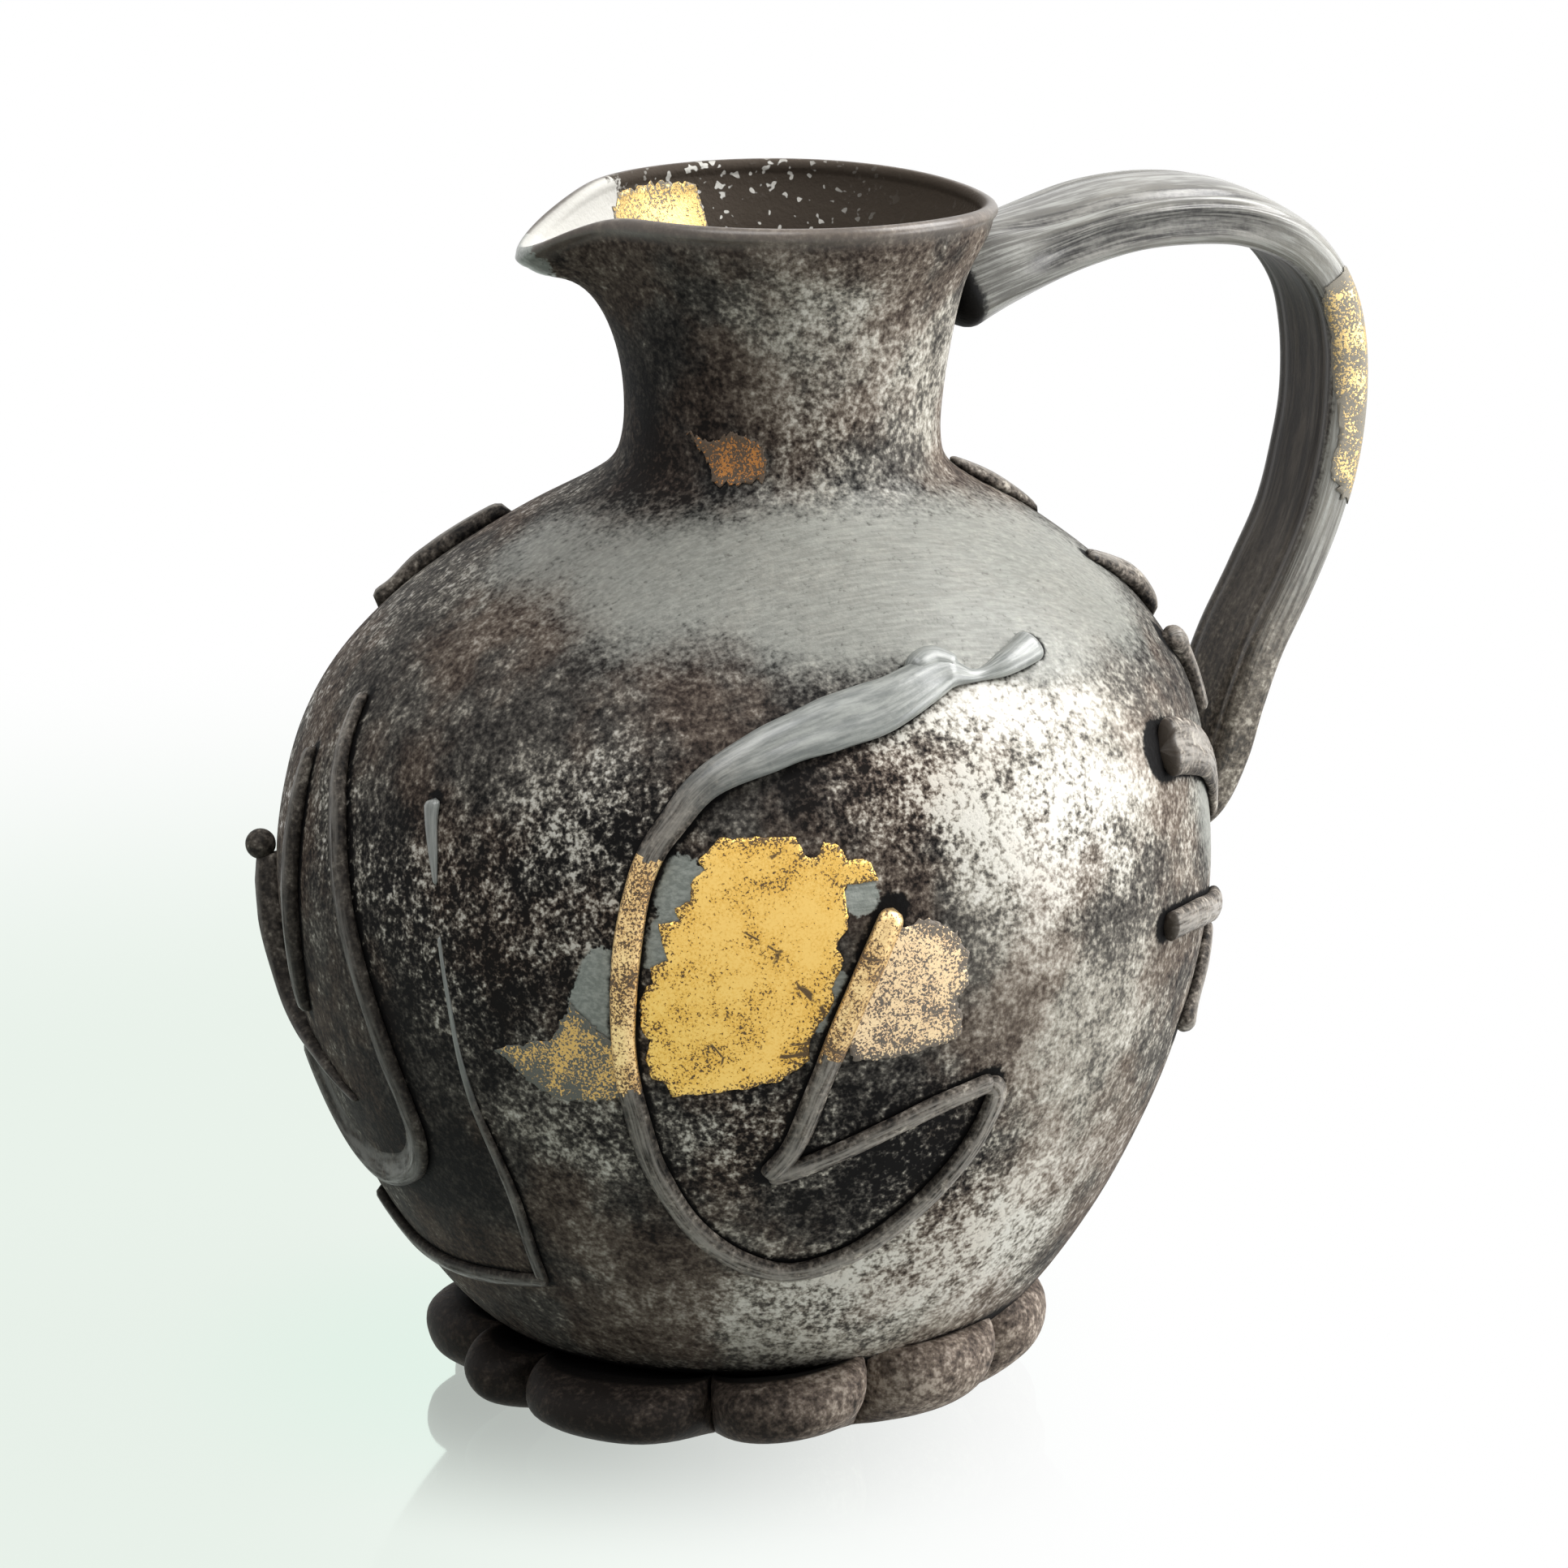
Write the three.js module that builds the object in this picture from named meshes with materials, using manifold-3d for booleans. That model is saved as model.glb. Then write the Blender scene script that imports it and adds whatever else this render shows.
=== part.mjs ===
// Blown glass pitcher with a pinched foot, a strap handle, trailed glass threads and gold leaf.
// Millimetres, +Z up. The origin is the middle of the foot's underside, the handle points
// along +X and the spout roughly along -X. A turn is an angle in degrees round the body from
// the front (-Y), positive towards the handle.

import * as THREE from 'three';
import { mergeVertices } from 'three/addons/utils/BufferGeometryUtils.js';
import Module from 'manifold-3d';

const wasm = await Module();
wasm.setup();

const { smoothstep, lerp, degToRad, radToDeg } = THREE.MathUtils;

// Body: [radius, height] up the outer wall, from the middle of the base to the lip
const BODY_OUTLINE = [
  [0, 9], [35, 9.5], [52, 12.5], [62, 18], [72.5, 30], [85, 50], [96, 75], [102.5, 100],
  [104.5, 118], [103.2, 135], [100, 150], [94, 163], [84.3, 175], [72.5, 185], [57.7, 195],
  [43.6, 203], [37.4, 208], [35.4, 214], [35.4, 223], [37, 235], [40.2, 249], [45.2, 260], [46.6, 266.3],
];
const LIP_HEIGHT = 266.3;
const BASE_THICKNESS = 6;
const WALL_THICKNESS = 3.5;
const LIP_THICKNESS = 2.6;
const THICK_BELOW = 40;
const THIN_ABOVE = 235;
const BELLY_RADIUS = 104.5;
const BODY_SEGMENTS = 40;
const OUTER_RINGS = 30;
const INNER_RINGS = 18;

// Hand-made irregularity: the neck leans to the handle, and the lip dips beside it
const LEAN = 10;
const LEAN_FROM = 120;
const LEAN_TO = 230;
const LIP_DIP = 1.9;
const LIP_DIP_SPREAD = 40;

// Spout: the lip is pulled out and down at one place, not quite opposite the handle
const SPOUT_TURN = -105;
const SPOUT_REACH = 12.6;
const SPOUT_DROP = 9.2;
const SPOUT_SPREAD = 17.5;
const SPOUT_FROM = 218;
const SPOUT_CURL = 3;
const FLARE_LIMIT = 1.1;

// Gap kept where a piece is laid on the body
const SEAT_GAP = 0.4;

// Fineness: points on each span of the outer wall line, and how near two points are one
const WALL_SAMPLES = 20;
const SAME_POINT = 1e-4;

// Foot: a pad of glass pinched at its edge; each lobe is [turn where it starts, reach, lift]
const LOBES = [
  [-88.5, 72.5, 4.5], [-72, 76.7, 1], [-31.5, 78, 0], [1.5, 72, 4.7], [37, 70, 6], [69, 68.5, 7.3],
  [100, 71, 4.5], [133, 72, 2], [167, 72, 0.5], [201, 72.5, 1], [235, 72, 3],
];
const FOOT_OUTLINE = [
  [0, 0], [36, 0], [54, 0], [65, 0.4], [70.3, 3.2], [72, 8.5], [70.8, 13.4], [67, 16.8], [63, 17.6],
  [54, 17.6], [0, 17.6],
];
const FOOT_REACH = 72;
const PINCH_LEVEL = 14;
const PINCH_FROM = 54;
const PINCH_KEEPS = 0.32;
const PINCH_SQUASH = 0.35;
const LOBE_STEPS = 7;
const LOBE_FULLNESS = 2.6;

// Handle: [x, z, width, thickness, roll in degrees] along the strap, from neck to belly
const HANDLE_STATIONS = [
  [47, 243, 26, 21, 0], [59, 248, 28, 18.5, -2], [75, 253.5, 30, 14.5, -5], [90, 257, 31, 13, -6],
  [105.5, 257.8, 31, 13, -6], [120, 255.5, 31, 12.5, -5], [133.5, 249, 30, 12, -3],
  [141.8, 239, 29, 11.5, -1], [145.8, 226.5, 29, 11.5, 0], [146.4, 213, 29, 11.5, 0],
  [144.7, 199, 29, 11.5, 0], [140.7, 184.5, 29, 11.2, 0], [133.5, 169.5, 29.5, 11, 0],
  [126, 156, 30, 11.2, 0], [121, 144, 30, 11.2, 0], [117.2, 132.5, 29, 11, 0],
  [112, 121.5, 27, 10, 0], [106.5, 115, 20, 6, 0],
];
const HANDLE_STEP = 8;
const HANDLE_SIDES = 20;
const STRAP_RIBS = 4;
const RIB_DEPTH = 0.9;
const EDGE_FULLNESS = 0.7;
const FACE_FULLNESS = 0.6;

// Threads: [turn, height, width] along the middle of each trail of glass laid on the wall
const FRONT_LOOP = [
  [20.5, 178.5, 8.5], [13, 176, 6], [7.5, 175, 3.2], [1, 175.5, 9], [-8, 171, 13], [-16, 168, 12.5],
  [-23.5, 164, 10], [-30.5, 158, 8], [-34, 150.5, 7], [-37, 140, 6.4], [-38.5, 120, 6],
  [-39, 100, 5.6], [-38, 86, 5.4], [-36, 72, 5.2], [-31.5, 58, 5], [-25, 49.5, 5],
  [-17.5, 46.5, 5], [-9, 50.5, 5], [-1, 60.5, 5], [5, 73, 5], [8, 86, 4.8], [6.5, 90, 4.6],
];
const FRONT_RETURN = [
  [7.5, 90, 4.6], [0.5, 86.5, 4.6], [-6.5, 81.5, 4.6], [-13, 76.5, 4.6], [-19, 72.5, 4.8],
  [-22, 71.5, 5],
];
const FRONT_BAR = [
  [-22, 71, 5], [-18.5, 79, 5], [-15.5, 94, 5.2], [-12.5, 109, 5.6], [-9.5, 121.5, 6], [-7, 131.5, 6],
];
const THIN_TRAIL = [
  [-68, 150, 4], [-65.8, 140, 3.2], [-64.2, 131, 2], [-63.5, 120, 1.8], [-62.5, 107, 1.9],
  [-62, 94, 2.1], [-61, 83, 2.3], [-59, 70, 2.5], [-58, 57.5, 2.8], [-58.5, 39, 3],
];
const THIN_TRAIL_BASE = [
  [-57.5, 39.5, 3.4], [-67.5, 37.5, 3.8], [-80, 36, 4], [-93, 37, 4], [-99.5, 42, 4], [-102, 47, 4],
];
const FRONT_RISE = 0.55;
const THIN_RISE = 0.6;

// Single threads: their stations, and how high they stand as a share of their width
const SINGLE_THREADS = {
  left_hairpin: {
    rise: 0.55,
    stations: [
      [-92.5, 164, 4.5], [-90, 152, 5.5], [-86.5, 140, 6], [-83.5, 127.5, 6], [-80.5, 115, 6],
      [-77.5, 101.5, 6], [-75, 89, 6], [-73.5, 78, 5.6], [-73.5, 69.5, 5.5], [-76.5, 62.5, 5.5],
      [-83, 58, 5.5], [-90, 56.5, 5.5], [-96.5, 59, 5.5], [-101.5, 64, 5.5], [-105, 71.5, 5.5],
      [-107, 80, 5.5],
    ],
  },
  left_strand: {
    rise: 0.6,
    stations: [[-101.5, 150, 4], [-100.5, 138, 5.2], [-99.5, 124, 5.6], [-99.5, 109, 5.6], [-101.5, 96, 4.5]],
  },
  knob_trail: {
    rise: 1,
    stations: [
      [-113.5, 126, 8], [-113, 121, 7], [-112, 115, 4.2], [-110.5, 104, 4], [-109, 95, 3.6],
      [-107, 89, 3.4], [-103.5, 84.5, 3.2], [-97.5, 80.5, 2.8], [-92, 76.5, 2.4], [-87.5, 73.5, 2],
    ],
  },
  left_shoulder_bar: {
    rise: 0.8,
    stations: [[-132.5, 192.5, 4.5], [-130, 186, 5.2], [-128, 180, 5.2], [-126.5, 175, 4], [-126, 171, 5.5]],
  },
  right_shoulder_drop: {
    rise: 0.4,
    stations: [[76, 206.5, 3], [80, 200.5, 7], [80.5, 192.5, 3.5]],
  },
  right_upper_drop: {
    rise: 0.45,
    stations: [[64, 186.5, 3.5], [70, 182, 6.5], [73.5, 177, 9], [73, 170, 6]],
  },
  right_bead_thread: {
    rise: 0.8,
    stations: [[61.5, 169, 7], [65, 164.5, 4.6], [66, 158, 3.8], [66.5, 150, 3.4]],
  },
  right_hook: {
    rise: 0.38,
    stations: [
      [39, 152.5, 13], [44, 151.3, 12.5], [50.5, 147.8, 10.5], [57, 142, 8], [62, 135, 6.5], [64.5, 128, 5],
    ],
  },
  right_middle_bar: {
    rise: 0.5,
    stations: [[37, 114.5, 6.5], [44, 114, 7], [52, 112, 7], [59, 109.8, 7], [66, 108, 6.5]],
  },
  right_low_bar: {
    rise: 0.5,
    stations: [[57.5, 79.5, 6.5], [59.5, 87, 5], [61, 96, 5], [66, 102.5, 4.5]],
  },
};
const THREAD_STEP = 5;
const THREAD_SIDES = 8;
const THREAD_END_TAPER = 0.45;
const END_FACE_MIDDLE = 0.4;

// Gold leaf: [turn, height] round each torn piece of foil
const FRONT_LEAVES = {
  front_leaf: [
    [-29, 147], [-19, 147], [-17.5, 144], [-14.5, 145], [-9.5, 139.5], [-12.5, 133.5], [-12, 110],
    [-15.5, 98], [-23.5, 92.5], [-33, 90.5], [-38, 94], [-38, 113], [-35, 119], [-35.5, 127],
    [-31.5, 132.5], [-30, 141],
  ],
  left_leaf: [
    [-56.5, 97.5], [-48, 101.5], [-45.5, 110.5], [-42.5, 104.5], [-38, 99], [-38, 89.5], [-48, 87],
    [-52, 90.5],
  ],
  right_leaf: [
    [-8, 129], [-2, 129.5], [1.5, 122.5], [3, 113.5], [2, 102.5], [-4.5, 98.5], [-14.5, 98.5],
    [-12.3, 110],
  ],
};
const NECK_LEAF = [
  [-61.5, 220], [-50, 218], [-43, 221], [-35, 219.5], [-30, 214.5], [-31, 210.5], [-48, 209],
  [-53, 214.5],
];
const SPOUT_LEAF = [
  [-140, 258], [-146, 263.5], [-162, 264], [-178, 263], [-179, 248], [-162, 245], [-143, 248],
];
const HANDLE_LEAF_LOW = 187;
const HANDLE_LEAF_HIGH = 242;
const HANDLE_LEAF_BACK = 4;
const HANDLE_LEAF_REACH = 20;
const HANDLE_LEAF_INNER_EDGE = -2;
const HANDLE_LEAF_STATIONS = [6, 13];
const LEAF_GAP = 0.4;
const LEAF_THICKNESS = 0.4;
const LEAF_CLEARANCE = 1;
const LEAF_RINGS = 8;
const LEAF_MARGIN = 2;
const PRISM_DEPTH = 50;

// Closed solid from a geometry: points merged, faces that have no area dropped, facing outwards
function solid(geometry) {
  const bare = geometry.clone();
  bare.deleteAttribute('normal');
  bare.deleteAttribute('uv');
  const merged = mergeVertices(bare, SAME_POINT);
  const vertProperties = new Float32Array(merged.getAttribute('position').array);
  const corners = merged.getIndex().array;
  const faces = [];
  for (let i = 0; i < corners.length; i += 3) {
    const [a, b, c] = [corners[i], corners[i + 1], corners[i + 2]];
    if (a !== b && b !== c && c !== a) faces.push(a, b, c);
  }
  const shape = shapeFrom(vertProperties, faces);
  return shape.volume() > 0 ? shape : shapeFrom(vertProperties, faces.reverse());
}

function shapeFrom(vertProperties, faces) {
  const triVerts = new Uint32Array(faces);
  return new wasm.Manifold(new wasm.Mesh({ numProp: 3, vertProperties, triVerts }));
}

// Named piece of the pitcher with its own material
function piece(name, shape, { color, roughness, metalness = 0 }) {
  const { vertProperties, triVerts } = shape.getMesh();
  const geometry = new THREE.BufferGeometry();
  geometry.setAttribute('position', new THREE.BufferAttribute(new Float32Array(vertProperties), 3));
  geometry.setIndex(new THREE.BufferAttribute(new Uint32Array(triVerts), 1));
  geometry.computeVertexNormals();
  const mesh = new THREE.Mesh(geometry, new THREE.MeshStandardMaterial({ color, roughness, metalness }));
  mesh.name = name;
  return mesh;
}

// Moves every point of a geometry by a rule that changes the point in place
function reshape(geometry, rule) {
  const position = geometry.getAttribute('position');
  const point = new THREE.Vector3();
  for (let i = 0; i < position.count; i++) {
    rule(point.fromBufferAttribute(position, i));
    position.setXYZ(i, point.x, point.y, point.z);
  }
  return geometry;
}

// Turned shape round +Z from an outline of Vector2(radius, height); its angle is the turn
function turned(outline, segments) {
  return new THREE.LatheGeometry(outline, segments).rotateX(Math.PI / 2);
}

// Outer wall as a fine line, and its radius and slope at a height
const BODY_CURVE = new THREE.SplineCurve(BODY_OUTLINE.map(([r, z]) => new THREE.Vector2(r, z)));
const WALL_LINE = BODY_CURVE.getPoints(WALL_SAMPLES * BODY_OUTLINE.length);

function wallAt(height) {
  const found = WALL_LINE.findIndex((point) => point.y > height);
  const above = found < 0 ? WALL_LINE.length - 1 : found;
  const [low, high] = [WALL_LINE[above - 1], WALL_LINE[above]];
  const slope = (high.x - low.x) / (high.y - low.y);
  return { radius: low.x + slope * (height - low.y), slope };
}

// Point of the outer wall line moved out along the wall's own normal, as radius and height
function offWall(point, out) {
  const { slope } = wallAt(Math.max(point.y, BODY_OUTLINE[1][1]));
  const tilt = point.x < 1 ? -Math.PI / 2 : -Math.atan(slope);
  const radius = Math.max(0, point.x + out * Math.cos(tilt));
  return new THREE.Vector2(radius, point.y + out * Math.sin(tilt));
}

function wallThickness(height) {
  const lower = lerp(BASE_THICKNESS, WALL_THICKNESS, smoothstep(height, 0, THICK_BELOW));
  return lerp(lower, LIP_THICKNESS, smoothstep(height, THIN_ABOVE, LIP_HEIGHT));
}

// Lean of the neck, pull of the spout and dip of the lip, applied to a point of the turned body
function bend(point) {
  const turn = Math.atan2(point.x, -point.y);
  const rise = (point.z - SPOUT_FROM) / (LIP_HEIGHT - SPOUT_FROM);
  const flare = THREE.MathUtils.clamp(rise, 0, FLARE_LIMIT) ** SPOUT_CURL;
  const pull = flare * Math.exp(-((turnFrom(turn, SPOUT_TURN) / SPOUT_SPREAD) ** 2));
  const dip = flare * Math.exp(-((turnFrom(turn, SPOUT_TURN + 180) / LIP_DIP_SPREAD) ** 2));
  point.x += LEAN * smoothstep(point.z, LEAN_FROM, LEAN_TO) + SPOUT_REACH * pull * Math.sin(turn);
  point.y -= SPOUT_REACH * pull * Math.cos(turn);
  point.z -= SPOUT_DROP * pull + LIP_DIP * dip;
}

// Degrees between an angle in radians and a turn, the short way round
function turnFrom(angle, turn) {
  const apart = THREE.MathUtils.euclideanModulo(radToDeg(angle) - turn + 180, 360) - 180;
  return Math.abs(apart);
}

// Place on the finished wall at a turn and height, a distance out along the normal
function onWall(turn, height, out) {
  const { radius } = wallAt(height);
  const section = offWall(new THREE.Vector2(radius, height), out);
  const angle = degToRad(turn);
  const point = new THREE.Vector3(section.x * Math.sin(angle), -section.x * Math.cos(angle), section.y);
  bend(point);
  return point;
}

// The outside of the body as a filled shape, grown by a gap, for fitting pieces to it
function bodyFill(gap) {
  const outline = BODY_CURVE.getPoints(OUTER_RINGS).map((point) => offWall(point, gap));
  outline.push(new THREE.Vector2(0, LIP_HEIGHT));
  return solid(reshape(turned(outline, BODY_SEGMENTS), bend));
}

// Blown body with neck, rolled lip and pulled spout, open at the top
function body() {
  const outer = BODY_CURVE.getPoints(OUTER_RINGS);
  const inner = BODY_CURVE.getPoints(INNER_RINGS)
    .map((point) => offWall(point, -wallThickness(point.y)));
  const [outerLip, innerLip] = [outer.at(-1), inner.at(-1)];
  const middle = outerLip.clone().add(innerLip).multiplyScalar(0.5);
  const lip = [45, 90, 135].map((angle) => new THREE.Vector2(
    middle.x + LIP_THICKNESS / 2 * Math.cos(degToRad(angle)),
    middle.y + LIP_THICKNESS / 2 * Math.sin(degToRad(angle)),
  ));
  const outline = [...outer, ...lip, ...inner.reverse()];
  return solid(reshape(turned(outline, BODY_SEGMENTS), bend));
}

// Pad of glass under the body, pinched at the edge into rounded lobes and flat underneath
function pinchedFoot() {
  const outline = FOOT_OUTLINE.map(([r, z]) => new THREE.Vector2(r, z));
  const segments = LOBES.length * LOBE_STEPS;
  const pad = reshape(turned(outline, segments), (point) => {
    const radius = Math.hypot(point.x, point.y);
    const step = Math.round(THREE.MathUtils.euclideanModulo(
      Math.atan2(point.x, -point.y) / (2 * Math.PI), 1) * segments) % segments;
    const { turn, pinch, reach, lift } = lobeAt(step);
    const out = Math.max(0, radius - PINCH_FROM);
    const stretch = (reach - PINCH_FROM) / (FOOT_REACH - PINCH_FROM) * lerp(1, PINCH_KEEPS, pinch);
    const edge = smoothstep(radius, PINCH_FROM, FOOT_REACH);
    const squash = 1 - PINCH_SQUASH * pinch * edge;
    const pinched = Math.min(radius, PINCH_FROM) + out * stretch;
    const height = PINCH_LEVEL + (point.z - PINCH_LEVEL) * squash + lift * edge;
    point.set(pinched * Math.sin(turn), -pinched * Math.cos(turn), height);
  });
  return solid(pad).subtract(bodyFill(SEAT_GAP));
}

// Angle, depth of pinch, reach and lift of the foot's edge at a step round it
function lobeAt(step) {
  const lobe = Math.floor(step / LOBE_STEPS);
  const [start, reach, lift] = LOBES[lobe];
  const [next, nextReach, nextLift] = LOBES[(lobe + 1) % LOBES.length];
  const width = THREE.MathUtils.euclideanModulo(next - start, 360);
  const across = 0.5 - 0.5 * Math.cos(Math.PI * (step % LOBE_STEPS) / LOBE_STEPS);
  return {
    turn: degToRad(start + width * across),
    pinch: 1 - Math.sqrt(1 - Math.abs(2 * across - 1) ** LOBE_FULLNESS),
    reach: lerp(reach, nextReach, across),
    lift: lerp(lift, nextLift, across),
  };
}

// Ribbed strap that follows the handle's line, grown by a gap
function strap(gap) {
  const route = new THREE.CatmullRomCurve3(HANDLE_STATIONS.map(([x, z]) => new THREE.Vector3(x, 0, z)));
  const sizes = new THREE.CatmullRomCurve3(
    HANDLE_STATIONS.map(([, , width, thickness, roll]) => new THREE.Vector3(width, thickness, roll)));
  const rings = Math.ceil(route.getLength() / HANDLE_STEP);
  const tube = new THREE.CylinderGeometry(1, 1, rings, HANDLE_SIDES, rings);
  return solid(reshape(tube, (point) => {
    const along = point.y / rings + 0.5;
    const station = route.getUtoTmapping(along);
    const size = sizes.getPoint(station);
    const middle = route.getPoint(station);
    const tangent = route.getTangent(station);
    const outward = new THREE.Vector3(-tangent.z, 0, tangent.x);
    const across = new THREE.Vector3().crossVectors(tangent, outward);
    const side = Math.sign(point.x) * Math.abs(point.x) ** EDGE_FULLNESS;
    const face = Math.sign(point.z) * Math.abs(point.z) ** FACE_FULLNESS;
    const ribs = Math.max(0, face) * RIB_DEPTH * Math.cos(Math.PI * STRAP_RIBS * (side + 1));
    const up = face * (size.y / 2 + gap) + ribs;
    const roll = degToRad(size.z);
    const wide = side * (size.x / 2 + gap);
    point.copy(middle)
      .addScaledVector(across, wide * Math.cos(roll) - up * Math.sin(roll))
      .addScaledVector(outward, up * Math.cos(roll) + wide * Math.sin(roll));
  }));
}

// Strap handle, pressed on to the neck under the lip and on to the belly
function handle() {
  return strap(0).subtract(bodyFill(SEAT_GAP));
}

// Half-round thread laid along stations on the wall; rise is its height as a share of its width
function thread(stations, rise, spread = 0) {
  const arc = degToRad(BELLY_RADIUS);
  const route = new THREE.CatmullRomCurve3(
    stations.map(([turn, height, width]) => new THREE.Vector3(turn * arc, height, width)));
  const rings = Math.ceil(route.getLength() / THREAD_STEP);
  const middles = route.getSpacedPoints(rings);
  const tube = new THREE.CylinderGeometry(1, 1, rings, THREAD_SIDES, rings);
  return solid(reshape(tube, (point) => {
    const ring = Math.round(rings / 2 + point.y);
    const { x, y: height, z: width } = middles[ring];
    const { radius, slope } = wallAt(height);
    const rising = 1 / Math.hypot(1, slope);
    const [before, after] = [middles[Math.max(ring - 1, 0)], middles[Math.min(ring + 1, rings)]];
    const heading = new THREE.Vector2(
      (after.x - before.x) / arc * degToRad(radius), (after.y - before.y) / rising).normalize();
    const fromEnd = Math.min(ring, rings - ring) * THREAD_STEP / (width / 2);
    const round = fromEnd < 1 ? Math.max(THREAD_END_TAPER, Math.sqrt(1 - (1 - fromEnd) ** 2)) : 1;
    const inEndFace = Math.hypot(point.x, point.z) < 0.5;
    const share = inEndFace ? END_FACE_MIDDLE : Math.max(0, point.z);
    const aside = point.x * (width / 2 * round + spread);
    const lift = share * width * rise * round + SEAT_GAP - Math.max(0, -point.z) * spread;
    const turn = x / arc + radToDeg(aside * heading.y / radius);
    point.copy(onWall(turn, height - aside * heading.x * rising, lift));
  }));
}

// Front trail: one long thread laid as a loop, folded back on itself and folded up as a bar
function frontTrail(spread = 0) {
  return thread(FRONT_LOOP, FRONT_RISE, spread)
    .add(thread(FRONT_RETURN, FRONT_RISE, spread))
    .add(thread(FRONT_BAR, FRONT_RISE, spread));
}

// Thin trail: a drip that runs down and doubles back round the base
function thinTrail() {
  return thread(THIN_TRAIL, THIN_RISE).add(thread(THIN_TRAIL_BASE, THIN_RISE));
}

// Thin skin over a stretch of wall, between two distances out from it
function wallSkin(low, high, near, far) {
  const heights = Array.from({ length: LEAF_RINGS + 1 }, (_, i) => lerp(low, high, i / LEAF_RINGS));
  const line = heights.map((height) => new THREE.Vector2(wallAt(height).radius, height));
  const inside = line.map((point) => offWall(point, near(point.y)));
  const outside = line.map((point) => offWall(point, far(point.y)));
  const outline = [...inside, ...outside.reverse(), inside[0].clone()];
  return solid(reshape(turned(outline, BODY_SEGMENTS), bend));
}

// Prism through the wall with a torn outline given as [turn, height] stations
function outlinePrism(stations) {
  const points = stations.map(([turn, height]) => onWall(turn, height, 0));
  const centre = points.reduce((sum, point) => sum.add(point), new THREE.Vector3())
    .divideScalar(points.length);
  const axis = stations.reduce((sum, [turn]) => sum + turn, 0) / stations.length;
  const away = new THREE.Vector3(Math.sin(degToRad(axis)), -Math.cos(degToRad(axis)), 0);
  const right = new THREE.Vector3(-away.y, away.x, 0);
  const shape = new THREE.Shape(points.map((point) => {
    const offset = point.clone().sub(centre);
    return new THREE.Vector2(offset.dot(right), offset.z);
  }));
  const prism = new THREE.ExtrudeGeometry(shape, { depth: PRISM_DEPTH, bevelEnabled: false, steps: 1 });
  const frame = new THREE.Matrix4().makeBasis(right, new THREE.Vector3(0, 0, 1), away);
  prism.translate(0, 0, -PRISM_DEPTH / 2);
  return solid(prism.applyMatrix4(frame.setPosition(centre)));
}

function heightSpan(stations) {
  const heights = stations.map(([, height]) => height);
  return [Math.min(...heights) - LEAF_MARGIN, Math.max(...heights) + LEAF_MARGIN];
}

// Leaf of gold foil on the outside of the body
function outerLeaf(stations) {
  const [low, high] = heightSpan(stations);
  const skin = wallSkin(low, high, () => LEAF_GAP, () => LEAF_GAP + LEAF_THICKNESS);
  return skin.intersect(outlinePrism(stations));
}

// Leaf of gold foil inside the lip beside the spout
function innerLeaf(stations) {
  const [low, high] = heightSpan(stations);
  const skin = wallSkin(low, high,
    (height) => -wallThickness(height) - LEAF_GAP - LEAF_THICKNESS,
    (height) => -wallThickness(height) - LEAF_GAP);
  return skin.intersect(outlinePrism(stations));
}

// Leaf of gold foil wrapped round the outer and front edge of the handle where it comes down
function handleLeaf() {
  const shell = strap(LEAF_GAP + LEAF_THICKNESS).subtract(strap(LEAF_GAP));
  const line = HANDLE_STATIONS.slice(...HANDLE_LEAF_STATIONS);
  const middle = line.map(([x, z]) => new THREE.Vector2(x + HANDLE_LEAF_INNER_EDGE, z));
  const outside = line.map(([x, z]) => new THREE.Vector2(x + HANDLE_LEAF_REACH, z)).reverse();
  const strip = new THREE.ExtrudeGeometry(new THREE.Shape([...middle, ...outside]), {
    depth: 2 * HANDLE_LEAF_REACH, bevelEnabled: false, steps: 1,
  });
  strip.rotateX(Math.PI / 2).translate(0, HANDLE_LEAF_REACH, 0);
  const height = HANDLE_LEAF_HIGH - HANDLE_LEAF_LOW;
  const limits = new THREE.BoxGeometry(6 * HANDLE_LEAF_REACH, 2 * HANDLE_LEAF_REACH, height);
  limits.translate(line[0][0], HANDLE_LEAF_BACK - HANDLE_LEAF_REACH, HANDLE_LEAF_LOW + height / 2);
  return shell.intersect(solid(strip)).intersect(solid(limits));
}

// Finishes: crusted dark glass, clearer dark glass of the threads and handle, and gold
const CRUSTED_GLASS = { color: 0x4a4743, roughness: 0.6 };
const FOOT_GLASS = { color: 0x4d443f, roughness: 0.65 };
const STRAP_GLASS = { color: 0x55534f, roughness: 0.35 };
const THREAD_GLASS = { color: 0x4c4844, roughness: 0.45 };
const GOLD_FOIL = { color: 0xd7aa46, roughness: 0.35, metalness: 1 };

const pitcher = new THREE.Group();
pitcher.add(piece('body', body(), CRUSTED_GLASS));
pitcher.add(piece('pinched_foot', pinchedFoot(), FOOT_GLASS));
pitcher.add(piece('handle', handle(), STRAP_GLASS));
pitcher.add(piece('front_trail', frontTrail(), THREAD_GLASS));
pitcher.add(piece('thin_trail', thinTrail(), THREAD_GLASS));
for (const [name, { stations, rise }] of Object.entries(SINGLE_THREADS)) {
  pitcher.add(piece(name, thread(stations, rise), THREAD_GLASS));
}
for (const [name, stations] of Object.entries(FRONT_LEAVES)) {
  pitcher.add(piece(name, outerLeaf(stations).subtract(frontTrail(LEAF_CLEARANCE)), GOLD_FOIL));
}
pitcher.add(piece('neck_leaf', outerLeaf(NECK_LEAF), GOLD_FOIL));
pitcher.add(piece('spout_leaf', innerLeaf(SPOUT_LEAF), GOLD_FOIL));
pitcher.add(piece('handle_leaf', handleLeaf(), GOLD_FOIL));

export default pitcher;
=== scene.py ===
import math

import bmesh
import bpy
import numpy as np
from mathutils import Matrix, Vector, kdtree, noise


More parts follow.
